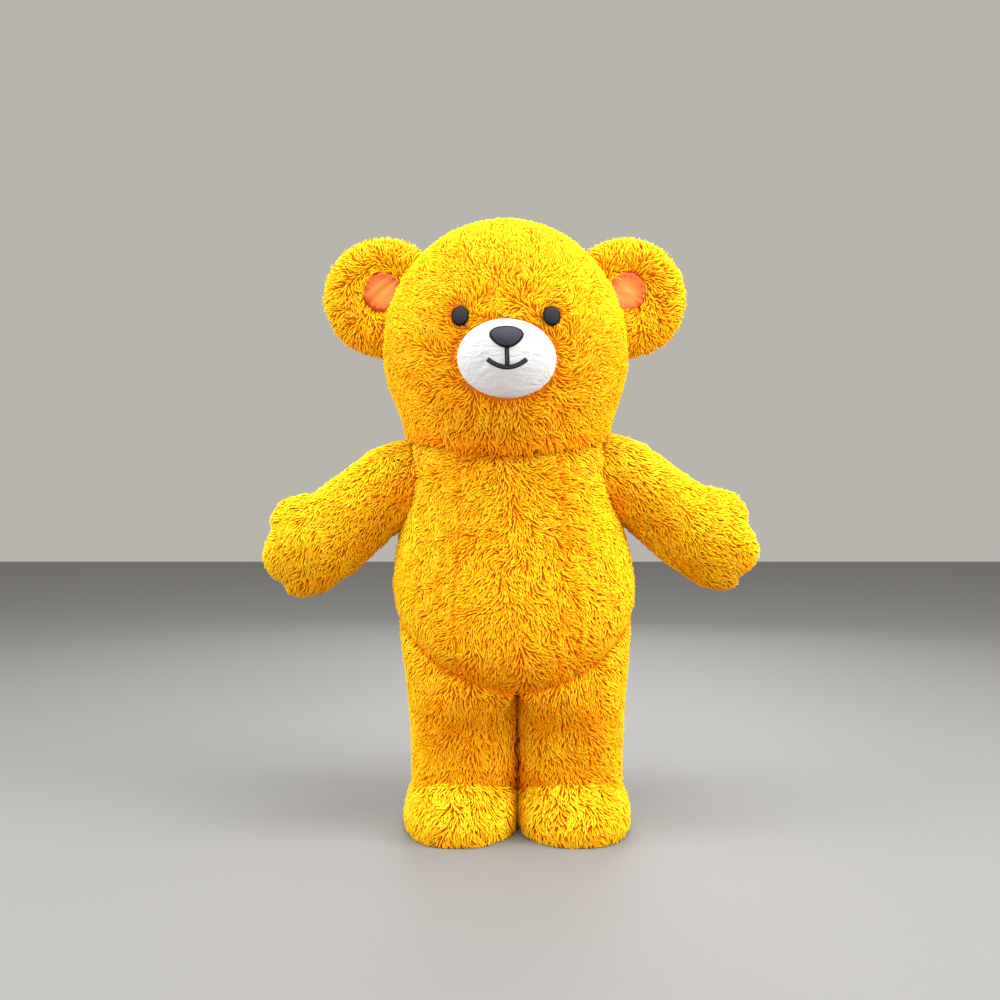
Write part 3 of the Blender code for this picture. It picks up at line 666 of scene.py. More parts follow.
# ---- pile
def vertex_normals(grid, outward):
    """Unit normals at the points of a grid, on the side of outward."""
    normals = np.cross(np.gradient(grid, axis=1), np.gradient(grid, axis=0))
    short = np.linalg.norm(normals, axis=-1, keepdims=True) < 1e-12
    normals = unit(np.where(short, outward, normals))
    return normals * np.where(dot(normals, outward) < 0, -1.0, 1.0)


def scatter(grid, normals, edges, density):
    """Points spread evenly over a grid, with their normals and distances from its seams."""
    a, b, c, d = grid[:-1, :-1], grid[:-1, 1:], grid[1:, 1:], grid[1:, :-1]
    area = 0.5 * np.linalg.norm(np.cross(c - a, d - b), axis=-1)
    repeats = np.floor(area * density + RNG.random(area.shape)).astype(int).ravel()
    row, column = (np.repeat(places.ravel(), repeats) for places in np.indices(area.shape))
    order = np.arange(len(row)) - np.repeat(np.cumsum(repeats) - repeats, repeats)
    shift = np.repeat(RNG.random((len(repeats), 2)), repeats, axis=0)
    u, v = ((shift[:, i] + order * SPREAD[i]) % 1 for i in (0, 1))

    def at(values):
        x, y = (u, v) if values.ndim == 2 else (u[:, None], v[:, None])
        return ((values[row, column] * (1 - x) + values[row, column + 1] * x) * (1 - y)
                + (values[row + 1, column] * (1 - x) + values[row + 1, column + 1] * x) * y)

    return at(grid), unit(at(normals)), at(edges)


def seam_distance(grid, seams):
    """Distance of each point of a grid from its seams: first and last column, first and last row."""
    ways = []
    for axis in (1, 0):
        run = np.cumsum(np.linalg.norm(np.diff(grid, axis=axis), axis=-1), axis=axis)
        run = np.concatenate([np.zeros_like(run.take([0], axis)), run], axis=axis)
        ways += [run, run.take([-1], axis) - run]
    wanted = [way for way, seam in zip(ways, seams) if seam]
    return np.min(wanted, axis=0) if wanted else np.full(grid.shape[:2], 1.0)


def between(bounds, share):
    """Numbers between two bounds."""
    low, high = bounds
    return low + (high - low) * share


def locks(name, grid, normals, groom, seams=(0, 0, 0, 0), keep=None, short=1.0, tousle=0.0, pale=0.0):
    """Locks of pile over a grid, plain on the back pieces. groom gives each its direction and keep drops some;
    short trims them, tousle turns them aside, and pale shifts their tone, lighter as painted light and deeper as
    painted shade; each a number or a function."""
    density, broad, stations, tapers = PLAIN_PILE if "back" in name or "heel" in name else FINE_PILE
    root, normal, edge = scatter(grid, normals, seam_distance(grid, seams), density)
    if keep is not None:
        wanted = keep(root)
        root, normal, edge = root[wanted], normal[wanted], edge[wanted]
    count = len(root)
    draw = RNG.random((count, 8))
    trim, loose, painted_light_and_shade = (np.broadcast_to(look(root) if callable(look) else look, count)
                            for look in (short, tousle, pale))
    wander = ((0.45 + 1.4 * loose) * noise(root, TURN_PATCH)[:, 0]
              + (0.85 + 1.2 * loose) * noise(root + 5, SWIRL_PATCH)[:, 1] + 0.35 * (draw[:, 0] - 0.5))
    lie = groom(root, normal)
    lie = unit(lie - dot(lie, normal) * normal)
    way = lie * np.cos(wander)[:, None] + np.cross(normal, lie) * np.sin(wander)[:, None]
    side = np.cross(normal, way)
    size = (0.85 + 0.3 * draw[:, 1]) * trim
    length = between(LOCK_LENGTH, draw[:, 2]) * size
    rise = np.clip(0.5 + 0.4 * noise(root + 9, RISE_PATCH)[:, 2] + 0.5 * (draw[:, 3] - 0.5), 0, 1)
    stray = 1 + LOCK_STRAY * (draw[:, 0] > LOCK_STRAY_FROM)
    height = between(LOCK_HEIGHT, rise) * trim * stray * (0.3 + 0.7 * smooth(0.0, SEAM_SHORT, edge))
    width = between(LOCK_WIDTH, draw[:, 4]) * (0.5 + 0.5 * trim) * broad
    bend = (0.9 * noise(root + 11, BEND_PATCH)[:, 0] + 0.7 * (draw[:, 5] - 0.5)) * LOCK_BEND * size
    wave = (1.0 + 0.6 * (draw[:, 6] - 0.5)) * LOCK_WAVE * size
    phase = 2.5 * noise(root + 13, WAVE_PATCH)[:, 1] + 0.8 * draw[:, 6]
    middles = [root + normal * (height * (1 - (1 - t) ** LOCK_ARCH))[:, None]
               + way * (length * t ** LOCK_RUN)[:, None]
               + side * (bend * t * t + t * wave * np.sin(LOCK_SNAKE * t + phase))[:, None] for t in stations]
    # tone: lighter where the cloth faces up or to the sides and deeper where it faces down is painted light and
    # shade; the tone patches and each lock's draw are the pile's own varying colour, and the seam term is painted
    # shade
    tone = (0.48 + painted_light_and_shade + 0.2 * noise(root + 3, TONE_PATCH)[:, 0] + 0.42 * normal[:, 2]
            + 0.55 * (draw[:, 7] - 0.5) + 0.3 * smooth(0.3, 0.95, np.abs(normal[:, 0]))
            - 0.4 * (1 - smooth(0.0, SEAM_PAINTED_SHADE, edge)))
    level = np.floor(np.clip(tone, 0, 0.999) * LOCK_TONES)
    return mesh_of_locks(name, middles, side, width, level, stations, tapers)


def mesh_of_locks(name, middles, side, width, level, stations, tapers):
    """Mesh object of locks, each a folded strip along its middle line. Each point stores its lock's tone and its
    place along and across the lock, also as texture coordinates with a column for each tone."""
    points, along = [], []
    for place, (t, taper) in enumerate(zip(stations, tapers)):
        run = unit(middles[min(place + 1, len(middles) - 1)] - middles[max(place - 1, 0)])
        over = unit(np.cross(run, side))
        crest = middles[place] + over * (LOCK_RIDGE * taper)
        half = np.cross(over, run) * (width * taper / 2)[:, None]
        ring = [middles[place] - half, crest, middles[place] + half] if taper else [crest]
        points += ring
        along += [t] * len(ring)
    count, per_lock = len(width), len(points)
    stacked = np.stack(points, axis=1).reshape(-1, 3)
    stacked[:, 2] = np.maximum(stacked[:, 2], FLOOR_GAP - HOLD_HEIGHT)
    tip = per_lock - 1
    pattern = [t for i in range(0, tip - 3, 3) for k in (i, i + 1)
               for t in ((k, k + 4, k + 1), (k, k + 3, k + 4))]
    pattern += [(tip - 3, tip, tip - 2), (tip - 2, tip, tip - 1)]
    first = np.arange(count)[:, None, None] * per_lock
    triangles = (first + np.array(pattern)[None]).reshape(-1, 3)

    data = bpy.data.meshes.new(name)
    data.vertices.add(len(stacked))
    data.vertices.foreach_set("co", stacked.astype(np.float32).ravel())
    data.loops.add(triangles.size)
    data.loops.foreach_set("vertex_index", triangles.astype(np.int32).ravel())
    data.polygons.add(len(triangles))
    data.polygons.foreach_set("loop_start", np.arange(0, triangles.size, 3, dtype=np.int32))
    data.update(calc_edges=True)
    data.polygons.foreach_set("use_smooth", np.ones(len(triangles), bool))
    tone = (np.repeat(level, per_lock) + 0.5) / LOCK_TONES
    along = np.tile(along, count)
    across = np.tile([-1, 0, 1] * (tip // 3) + [0], count)
    for label, values in (("tone", tone), ("along", along), ("across", across)):
        data.attributes.new(label, "FLOAT", "POINT").data.foreach_set("value", values.astype(np.float32))
    places = np.stack([tone + 0.42 * across / LOCK_TONES, 0.02 + 0.96 * along], -1)
    layer = data.uv_layers.new(name="OFBake")
    layer.data.foreach_set("uv", places[triangles.ravel()].astype(np.float32).ravel())
    return new_object(name, data)


# ---- which way the pile lies
MUZZLE_PLACE = np.array((float(lean(MUZZLE_HEIGHT)), -0.37, MUZZLE_HEIGHT - HOLD_HEIGHT))
DOWN = np.array((0.0, 0.0, -1.0))
SEEN_FLAT = np.array((1.0, 0.0, 1.0))   # drops the depth of a point
ARM_HALF_WIDTH = 0.15
LEG_MIDDLE = 0.185
COMBED = -0.3                   # pile of the arms and legs lies more in line than the rest


def groom_head(points, normals):
    """Away from the muzzle in front, and down the back."""
    away = unit(points - MUZZLE_PLACE)
    behind = smooth(-0.02, 0.24, points[:, 1])[:, None]
    over_muzzle = (on_oval(points, (0, MUZZLE_HEIGHT), MUZZLE_SIZE) < 1.07) & (RNG.random(len(points)) < 0.45)
    return away * (1 - behind) * np.where(over_muzzle, -1, 1)[:, None] + DOWN * behind


def groom_body(points, normals):
    """Parted at the centre, outwards and down; more sideways on the chest."""
    across = upright(points)[0] / 0.10
    out = across / np.sqrt(1 + across ** 2)
    chest = smooth(-0.42, -0.12, points[:, 2])
    return vec(out * (0.75 + 0.5 * chest), 0, -0.75 + 0.35 * chest)


def groom_arm(side, points, normals):
    """Along the arm towards the fingertips, fanning out from its middle line."""
    shoulder = np.array((side * 0.42, 0.0, -0.15))
    run = unit(np.array((side * 0.76, 0.0, -0.65)))
    rise = np.array((side * 0.65, 0.0, 0.76))
    above = ((points - shoulder) @ rise)[:, None] / ARM_HALF_WIDTH
    return run + 0.4 * np.clip(above, -1, 1) * rise + 0.10 * DOWN


def groom_leg(side, points, normals):
    """Down at the inseam, and more and more outwards."""
    out = side * upright(points)[0] / LEG_MIDDLE - 1
    outwards = np.maximum(0.4 + 0.95 * out, -0.5)
    return vec(side * outwards, 0.5 * normals[:, 1], 0.45 * smooth(0, 1, out) - 0.95)


def groom_foot(side, points, normals):
    """Out and down from the instep."""
    return unit(points - np.array((side * 0.17, -0.12, 0.13 - HOLD_HEIGHT))) + 0.3 * DOWN


def ear_middle(side):
    """Middle of an ear."""
    return posed(np.array((side * EAR_X, 0.0, EAR_HEIGHT)))


def ear_ring(side, points):
    """Distance of points from the middle of an ear seen from the front, in its radii."""
    return np.linalg.norm((points - ear_middle(side)) * SEEN_FLAT, axis=1) / EAR_RADIUS


def groom_ear(side, points, normals):
    """Outwards from the middle of the ear, and round the patch next to it."""
    away = unit((points - ear_middle(side)) * SEEN_FLAT)
    round_it = side * vec(away[:, 2], 0, -away[:, 0])
    near = ((1 - smooth(0.42, 0.78, ear_ring(side, points))) * (points[:, 1] < 0))[:, None]
    return away * (1 - 0.75 * near) + 1.1 * near * round_it


def dress(node, at, groom, first_row=0, cutter=None, dip=1.0, **looks):
    """Backing cloth and pile in place of one CAD node. at(depth) gives the grids of its form, the pile starts at
    first_row, and dip is how far down its roots may face."""
    outer, inner = at(CLOTH_OUT), at(CLOTH_IN)
    normals = vertex_normals(outer, unit(outer - at(CLOTH_OUT + 0.004)))
    normals[..., 2] = np.maximum(normals[..., 2], -dip)
    normals = unit(normals)
    skin = shell(f"cloth_{node}", outer, inner)
    if cutter:
        carve(skin, cutter)
    finish_piece(skin, node, GOLD_CLOTH)
    fur = locks(f"pile_{node}", outer[first_row:], normals[first_row:], groom, **looks)
    finish_piece(fur, None, GOLD_PILE)


def steps(first, last, width):
    """Even places from first to last, about width apart."""
    return np.linspace(first, last, max(2, round(abs(last - first) / width) + 1))


BODY_TREE = tree_of(grid_of(body, np.arange(0, 360, 4), np.linspace(0, 1, 81), 0.0), True)


def inside_armhole(points, margin=0.0):
    """Whether points of the body lie inside a sleeve's root."""
    found = np.zeros(len(points), bool)
    top_x, top_z, low_x, low_z, reaches = row_at(SLEEVE_ROWS, (0.0, SLEEVE_START))
    middles = np.stack([top_x + low_x, top_z + low_z], -1) / 2
    halves = np.stack([top_x - low_x, top_z - low_z], -1) / 2
    axis = middles[1] - middles[0]
    across, y, height = upright(points)
    for _, side, fall, reach in ARMS:
        place = np.stack([across * side - reach, height + fall], -1)
        share = ((place - middles[0]) @ axis / (axis @ axis))[:, None]
        offset = place - (middles[0] + share * axis)
        half = halves[0] + share * (halves[1] - halves[0])
        depth = (reaches[0] + share * (reaches[1] - reaches[0]))[:, 0]
        up = (offset * half).sum(-1) / (half * half).sum(-1)
        found |= (place[:, 0] > 0) & (up ** 2 + (y / depth) ** 2 < (1 + margin) ** 2)
    return found


def armhole_cutter(side, fall, reach):
    """Closed tube through one armhole, for the backing cloth of the body."""
    form = mirrored(sleeve, side, fall, reach)
    angles = np.radians(np.arange(0, 360, 6))
    first, last = (posed(form(angles, share, CLOTH_OUT - 0.001)) for share in (0.0, SLEEVE_START))
    grid = np.stack([first + (last - first) * t for t in np.linspace(0, 1, 5)])
    return capped_tube("armhole_cutter", grid, (0, len(grid) - 1))


# columns: node, first angle, last angle
BODY_PANELS = (
    ("body_front_centre", -90 - PRINCESS_ANGLE, -90 + PRINCESS_ANGLE),
    ("body_front_left", -180, -90 - PRINCESS_ANGLE),
    ("body_front_right", -90 + PRINCESS_ANGLE, 0),
    ("body_back_left", 90, 180),
    ("body_back_right", 0, 90),
)
HEAD_PANELS = (("head_face", -180, 0), ("head_back_left", 90, 180), ("head_back_right", 0, 90))


def in_neck_fold(points):
    """How near points are to the seam between head and body, from 0 to 1."""
    across, y, height = upright(points)
    return 1 - smooth(0.005, 0.045, np.abs(height - neck_seam(np.arctan2(y, across))))


def dress_body():
    """Body, deeper in tone as painted shade under the head's rim, where its pile stands taller, and round the
    armholes.
    """
    def taller_at_neck(points):
        return 1 + 0.5 * in_neck_fold(points)

    # painted shade: deeper tone in the fold under the head's rim and round the armholes
    def painted_neck_and_armhole_shade(points):
        return -0.4 * np.maximum(0.5 * inside_armhole(points, 0.08), 1.3 * in_neck_fold(points))

    for node, first, last in BODY_PANELS:
        hole = None
        for name, *arm in ARMS:
            if name in node:
                hole = armhole_cutter(*arm)
        dress(node, partial(grid_of, body, steps(first, last, 4.5), np.linspace(0, 1, 61)), groom_body,
              first_row=BARE_NECK_ROWS, cutter=hole, seams=(1, 1, 0, 1), short=taller_at_neck, pale=painted_neck_and_armhole_shade,
              keep=lambda points: ~inside_armhole(points, -0.03))
        if hole:
            bpy.data.objects.remove(hole)


def outside_body(points):
    """Whether points lie outside the body's form."""
    found = []
    for point in points:
        place = BODY_TREE.find_nearest(Vector(point))[0]
        axis = float(lean(point[2] + HOLD_HEIGHT))
        far = math.hypot(place.x - axis, place.y)
        found.append(math.hypot(point[0] - axis, point[1]) > far - CLOTH_OUT / 2)
    return np.array(found)


def under_arm(points):
    """How near points of a sleeve are to the armpit, from 0 to 1."""
    across, _, height = upright(points)
    return (1 - smooth(0.30, 0.40, np.abs(across))) * (1 - smooth(1.10, 1.22, height))


def rooted_sleeve(side, fall, reach, degrees, depth):
    """Posed grid of a sleeve whose upper end starts just inside the body's cloth."""
    form = mirrored(sleeve, side, fall, reach)
    angles = np.radians(degrees)
    raised = SHOULDER_RISE * np.maximum(np.cos(angles), 0)[:, None] ** 2 * np.array((0.0, 0.0, 1.0))
    top, start, beyond = (posed(form(angles, share, depth)) for share in (0.0, SLEEVE_START, SLEEVE_START + 0.04))
    inward, back = unit(top + raised - start), unit(start - beyond)
    inner = []
    for point, direction in zip(start + back * 0.03, inward):
        hit = BODY_TREE.ray_cast(Vector(point), Vector(direction))[0]
        inner.append(point + direction * 0.05 if hit is None else np.array(hit) + direction * SLEEVE_ROOT)
    inner = np.array(inner)
    lead = start + back * np.linalg.norm(start - inner, axis=-1, keepdims=True) * 0.4
    root = [inner * (1 - t) ** 2 + lead * 2 * t * (1 - t) + start * t * t for t in np.linspace(0, 1, 11)[:-1]]
    rest = grid_of(form, degrees, np.linspace(SLEEVE_START, 1, 25), depth)
    return np.concatenate([np.stack(root), rest])


def dress_arms():
    """Sleeves and hands, lighter in tone as painted light, and deeper in tone at the armpits as painted shade."""
    for name, *arm in ARMS:
        groom = partial(groom_arm, arm[0])
        for half, first in (("front", 0), ("back", 180)):
            upper = partial(rooted_sleeve, *arm, steps(first, first + 180, 7.5))
            lower = partial(grid_of, mirrored(hand, *arm), steps(first, first + 180, 6),
                            np.linspace(0, 1, 31) ** 0.9)
            # pale: painted light on the arms and hands, and painted shade at the armpits
            dress(f"sleeve_{name}_{half}", upper, groom, seams=(1, 1, 0, 0), keep=outside_body, tousle=COMBED,
                  pale=lambda points: 0.26 - 0.5 * under_arm(points))
            dress(f"hand_{name}_{half}", lower, groom, seams=(0, 0, 0, 1), tousle=COMBED, pale=0.36)


def shut_inside(form, angle, share, depth):
    """A leg or foot with its cloth nearly at the surface where it lies against the other leg."""
    inwards = smooth(math.radians(125), math.radians(150), np.abs(angle))
    return form(angle, share, depth * (1 - 0.85 * inwards))


def painted_shade_between_legs(points):
    """Painted shade: pile is deeper in tone where the legs press together."""
    return -0.6 * (1 - smooth(0.010, 0.055, np.abs(upright(points)[0])))


def outer_of_legs(points):
    """Leaves out most of the pile that is shut between the two legs."""
    across, y, _ = upright(points)
    shut = (np.abs(across) < 0.018) & (y > -0.16) & (y < 0.14)
    return ~shut | (RNG.random(len(points)) < 0.3)


def dress_legs():
    """Legs, and feet with fuller pile."""
    for name, side in SIDES:
        for half, panel, sign in (("front", "toe", -1), ("back", "heel", 1)):
            degrees = sign * np.concatenate([steps(0, 115, 5), steps(115, 180, 6)[1:]])
            upper, lower = (partial(grid_of, mirrored(partial(shut_inside, form), side), degrees,
                                    np.linspace(0, 1, rows)) for form, rows in ((leg, 41), (foot, 21)))
            # pale: painted shade where the legs press together, and the feet a little lighter besides
            dress(f"leg_{name}_{half}", upper, partial(groom_leg, side), seams=(1, 0, 1, 0),
                  keep=outer_of_legs, tousle=COMBED, pale=painted_shade_between_legs)
            dress(f"foot_{name}_{panel}", lower, partial(groom_foot, side), seams=(1, 0, 0, 0),
                  keep=outer_of_legs, short=1.15, pale=lambda points: 0.1 + painted_shade_between_legs(points))


def on_oval(points, middle, size):
    """How far points of the face lie from the middle of an oval, in its own radii."""
    across, y, height = upright(points)
    return np.hypot((across - middle[0]) / size[0], (height - middle[1]) / size[1]) + (y > 0) * 9


def clear_of_ears(points):
    """Whether pile is rooted outside the ears' roots."""
    across, y, height = upright(points)
    ring = np.hypot(np.abs(across) - EAR_X, height - EAR_HEIGHT) / (EAR_RADIUS - 0.012)
    half = (EAR_HALF_THICKNESS - 0.012) * np.sqrt(np.maximum(0, 1 - ring ** 3))
    return np.abs(y) > half


def clear_of_features(points):
    """Whether pile is rooted outside the muzzle, the eyes and the ears' roots."""
    clear = on_oval(points, (0, MUZZLE_HEIGHT), MUZZLE_SIZE) > 1.0
    for _, side in SIDES:
        clear &= on_oval(points, (side * EYE_X, EYE_HEIGHT), EYE_SIZE) > 1.02
    return clear & clear_of_ears(points)


def longer_at_rim(points):
    """Pile hangs longer at the rim of the head, over the seam with the body."""
    return 1 + 0.35 * in_neck_fold(points)


def trimmed_round_features(points):
    """The same, and shorter next to the muzzle and the eyes."""
    trim = longer_at_rim(points)
    trim *= 0.72 + 0.28 * smooth(1.0, 1.22, on_oval(points, (0, MUZZLE_HEIGHT), MUZZLE_SIZE))
    for _, side in SIDES:
        trim *= 0.55 + 0.45 * smooth(1.0, 1.9, on_oval(points, (side * EYE_X, EYE_HEIGHT), EYE_SIZE))
    return trim


def brow(points):
    """Pile is tousled over the muzzle and round it."""
    near = 1 - smooth(1.05, 1.75, on_oval(points, (0, MUZZLE_HEIGHT + 0.03), MUZZLE_SIZE))
    return near * (0.35 + 0.65 * smooth(MUZZLE_HEIGHT - 0.04, MUZZLE_HEIGHT + 0.08, upright(points)[2]))


def seated_head(degrees, shares, depth):
    """Posed grid of the head, held just over the shoulders near the rim."""
    grid = grid_of(head, degrees, shares, depth)
    for point in grid[shares.searchsorted(0.85):].reshape(-1, 3):
        hit = BODY_TREE.ray_cast(Vector((point[0], point[1], 1.0)), Vector(DOWN))[0]
        if hit is not None:
            point[2] = max(point[2], hit.z + 0.002 + (CLOTH_IN - depth))
    return grid


def dress_head():
    """Face with its tousled brow, and the two back pieces."""
    shares = np.concatenate([np.linspace(0, 0.5, 33), np.linspace(0.5, 1, 41)[1:]])
    face = dict(keep=clear_of_features, short=trimmed_round_features, tousle=brow)
    back = dict(keep=clear_of_ears, short=longer_at_rim)
    for node, first, last in HEAD_PANELS:
        # pale: painted shade in the fold under the head's rim
        dress(node, partial(seated_head, steps(first, last, 4.5), shares), groom_head, dip=0.2,
              seams=(1, 1, 0, 0), pale=lambda points: -0.4 * in_neck_fold(points),
              **(face if node == "head_face" else back))


def inside_tree(tree, points):
    """Whether points lie inside a closed surface whose faces point out."""
    found = []
    for point in points:
        place, normal, _, _ = tree.find_nearest(Vector(point))
        found.append((Vector(point) - place).dot(normal) < 0)
    return np.array(found)


def dress_ear(node, side, facing, cutter, inside):
    """Half of an ear, cut off at the head's cloth, with its pile leaving the patch free."""
    form = mirrored(partial(ear, facing), side)
    shares = np.linspace(0, 1, 21) ** 0.8
    outer = grid_of(form, np.linspace(0, 360, 61), shares, CLOTH_OUT) + np.array((0, facing * 0.001, 0))
    flat = outer.copy()
    flat[..., 1] = facing * 0.0002
    facing_out = np.array((0.0, facing, 0.0))
    normals = vertex_normals(outer, np.broadcast_to(facing_out, outer.shape))
    away = unit((outer - ear_middle(side)) * SEEN_FLAT)
    rim = smooth(0.8, 1.0, shares)[:, None, None]
    normals = unit(normals + rim * (0.5 * away + 1.1 * facing_out))
    piece = shell(f"cloth_{node}", outer[:, :-1], flat[:, :-1], closed=True)
    carve(piece, cutter)
    finish_piece(piece, node, GOLD_CLOTH)

    def keep(points):
        wanted = ~inside_tree(inside, points)
        if facing < 0:
            across, _, height = upright(points)
            from_patch = np.hypot(across - side * EAR_X, height - EAR_HEIGHT - EAR_PATCH_RISE)
            wanted &= from_patch > 0.9 * EAR_PATCH_RADIUS
        return wanted

    def inner_ring(points):
        return 1 - smooth(0.6, 0.85, ear_ring(side, points))

    # painted light and shade: lighter overall and towards the top, where light falls from above, and deeper in
    # the dish round the patch
    def pale(points):
        return 0.4 - 0.2 * inner_ring(points) + 0.3 * (points[:, 2] + HOLD_HEIGHT - EAR_HEIGHT) / EAR_RADIUS

    fur = locks(f"pile_{node}", outer, normals, partial(groom_ear, side), keep=keep, pale=pale,
                tousle=lambda points: 0.75 * inner_ring(points) - 0.3)
    finish_piece(fur, None, GOLD_PILE)


def dress_ears():
    """Four ear halves, trimmed by a closed solid of the inside of the head's cloth."""
    grid = grid_of(head, np.arange(-180, 180, 9), np.linspace(0, 0.92, 25), CLOTH_OUT)
    cutter = capped_tube("head_inside", grid, (len(grid) - 1,))
    inside = BVHTree.FromPolygons([v.co for v in cutter.data.vertices],
                                  [tuple(p.vertices) for p in cutter.data.polygons])
    for name, side in SIDES:
        for half, facing in (("front", -1), ("back", 1)):
            dress_ear(f"ear_{name}_{half}", side, facing, cutter, inside)
    bpy.data.objects.remove(cutter)


# ---- face
FACE_GRID = head(np.radians(steps(-180, 0, 2))[None, :], np.linspace(0, 1, 121)[:, None], 0.0)
ON_FACE = [tree_of(FACE_GRID)]
# soft wrinkles of the muzzle; columns: x, height over its middle, direction in degrees, half length, width, depth
WRINKLES = (
    (-0.098, -0.012, 24, 0.034, 0.0065, 0.0016),
    (-0.084, -0.038, 31, 0.042, 0.0070, 0.0020),
    (-0.066, -0.058, 36, 0.036, 0.0060, 0.0016),
    (-0.060, -0.016, 22, 0.026, 0.0050, 0.0011),
    (-0.040, -0.074, 30, 0.040, 0.0070, 0.0019),
    (-0.032, -0.046, 27, 0.022, 0.0045, 0.0009),
    (-0.010, -0.090, 21, 0.036, 0.0060, 0.0016),
    (0.018, -0.078, 33, 0.030, 0.0055, 0.0014),
    (0.044, -0.086, 42, 0.026, 0.0060, 0.0015),
    (0.070, -0.052, 48, 0.034, 0.0060, 0.0016),
    (0.096, -0.030, 58, 0.026, 0.0055, 0.0012),
    (0.104, 0.012, 74, 0.028, 0.0055, 0.0010),
    (-0.112, 0.026, -78, 0.026, 0.0055, 0.0009),
    (0.060, -0.014, 40, 0.020, 0.0045, 0.0008),
)


def ray_y(trees, x, z):
    """Foremost y of surfaces at a place seen from the front, or None beside them."""
    hits = [tree.ray_cast(Vector((x, -1, z)), Vector((0, 1, 0)))[0] for tree in trees]
    return min((hit.y for hit in hits if hit is not None), default=None)


def disc(rings, columns, middle, outline, lift, trees):
    """Grid of upright points over an outline on a surface, middle first; lift(share, x, z) stands them off."""
    shares = np.linspace(0, 1, rings + 1)
    angles = np.linspace(0, 2 * math.pi, columns, endpoint=False)
    grid = np.zeros((rings + 1, columns, 3))
    for i, share in enumerate(shares):
        for j, angle in enumerate(angles):
            x, z = outline(angle)
            x, z = middle[0] + x * share, middle[1] + z * share
            grid[i, j] = x, ray_y(trees, x, z) - lift(share, x, z), z
    return grid


def oval(half_width, half_height):
    """Outline of an oval."""
    def outline(angle):
        return half_width * math.cos(angle), half_height * math.sin(angle)
    return outline


def wrinkle(x, z):
    """Depth of the muzzle's soft wrinkles at a place."""
    total = 0.0
    for wx, wz, turn, half, width, depth in WRINKLES:
        turn = math.radians(turn)
        dx, dz = x - wx, z - MUZZLE_HEIGHT - wz
        along = dx * math.cos(turn) + dz * math.sin(turn)
        across = -dx * math.sin(turn) + dz * math.cos(turn) + 2.2 * along * along
        total += depth * math.exp(-(across / width) ** 2 - (along / half) ** 4)
    return total


def behind(grid, trees, distance):
    """A grid's points moved back to a distance behind a surface."""
    back = grid.copy()
    for index in np.ndindex(grid.shape[:2]):
        x, _, z = grid[index]
        back[index][1] = ray_y(trees, x, z) + distance
    return back


def sewn_on(name, node, grid, trees, back, material, closed=True):
    """Face piece from the grid of its front to a distance behind the surface it lies on."""
    piece = shell(name, posed(grid), posed(behind(grid, trees, back)), closed)
    return finish_piece(piece, node, material)


def turned_edge(share, low, high, power):
    """Height of cloth whose edge turns down from high to low at share 1."""
    return low + (high - low) * (1 - share ** power)


def muzzle_lift(share, x, z):
    """Height of the muzzle's stuffed cloth over the face, gathered at its edge and softly wrinkled."""
    edge = turned_edge(share, -0.006, MUZZLE_EDGE, 12)
    gather = 0.0007 * math.sin(57 * math.atan2(z - MUZZLE_HEIGHT, x)) * float(smooth(0.82, 0.97, share))
    dome = MUZZLE_DEPTH * (1 - share ** MUZZLE_ROUND[0]) ** MUZZLE_ROUND[1]
    return edge + dome + gather - wrinkle(x, z)


def nose_outline(angle):
    """Rounded triangle, broad at its top."""
    taper = 1 + NOSE_TAPER * math.sin(angle)
    return NOSE_SIZE[0] * math.cos(angle) * taper, NOSE_SIZE[1] * math.sin(angle)


def nose_lift(share, x, z):
    """Height of the nose over the muzzle."""
    return turned_edge(share, FELT_EDGE, APPLIQUE, 14) + NOSE_DEPTH * (1 - share ** NOSE_ROUND)


def eye_lift(share, x, z):
    """Height of an eye over the face."""
    return turned_edge(share, -APPLIQUE, APPLIQUE, 14) + EYE_DEPTH * (1 - share ** 2) ** 0.7


def stroke_grid(path, trees):
    """Domed strip along a path on a surface, and the line of its edge."""
    points = [np.array(p) for p in path]
    grid, left, right = [], [], []
    for i, point in enumerate(points):
        along = points[min(i + 1, len(points) - 1)] - points[max(i - 1, 0)]
        along = along / np.hypot(*along)
        across = np.array((along[1], -along[0])) * STROKE
        row = []
        for place in np.linspace(-1, 1, 9):
            x, z = point + across * place
            row.append((x, ray_y(trees, x, z) - turned_edge(place, FELT_EDGE, APPLIQUE, 6), z))
        grid.append(row)
        left.append(tuple(point - across * 0.94))
        right.append(tuple(point + across * 0.94))
    return np.array(grid), left + right[::-1] + left[:1]


def ring_path(middle, outline, share):
    """Closed line of (x, height) points round an outline."""
    return [(middle[0] + outline(a)[0] * share, middle[1] + outline(a)[1] * share)
            for a in np.linspace(0, 2 * math.pi, 97)]


def satin_edge(path, trees, width, pitch=0.0012):
    """Close stitches across a line: for each, five points over the edge and its direction along the line."""
    path = np.array(path)
    lengths = np.hypot(*np.diff(path, axis=0).T)
    run = np.concatenate([[0], np.cumsum(lengths)])
    found = []
    for number, place in enumerate(np.arange(0, run[-1], pitch)):
        i = min(np.searchsorted(run, place, side="right") - 1, len(path) - 2)
        t = (place - run[i]) / max(lengths[i], 1e-9)
        point = path[i] + (path[i + 1] - path[i]) * t
        along = (path[i + 1] - path[i]) / max(lengths[i], 1e-9)
        across = np.array((along[1], -along[0]))
        reach = width * (0.5 + 0.06 * math.sin(number * 2.4))
        line = []
        for share in (-1.0, -0.5, 0.0, 0.5, 1.0):
            x, z = point + across * reach * share
            y = ray_y(trees, x, z)
            if y is not None:
                line.append((x, y - 0.0002 - 0.0007 * (1 - share * share), z))
        if len(line) == 5:
            found.append((np.array(line), np.array((along[0], 0.0, along[1]))))
    return found


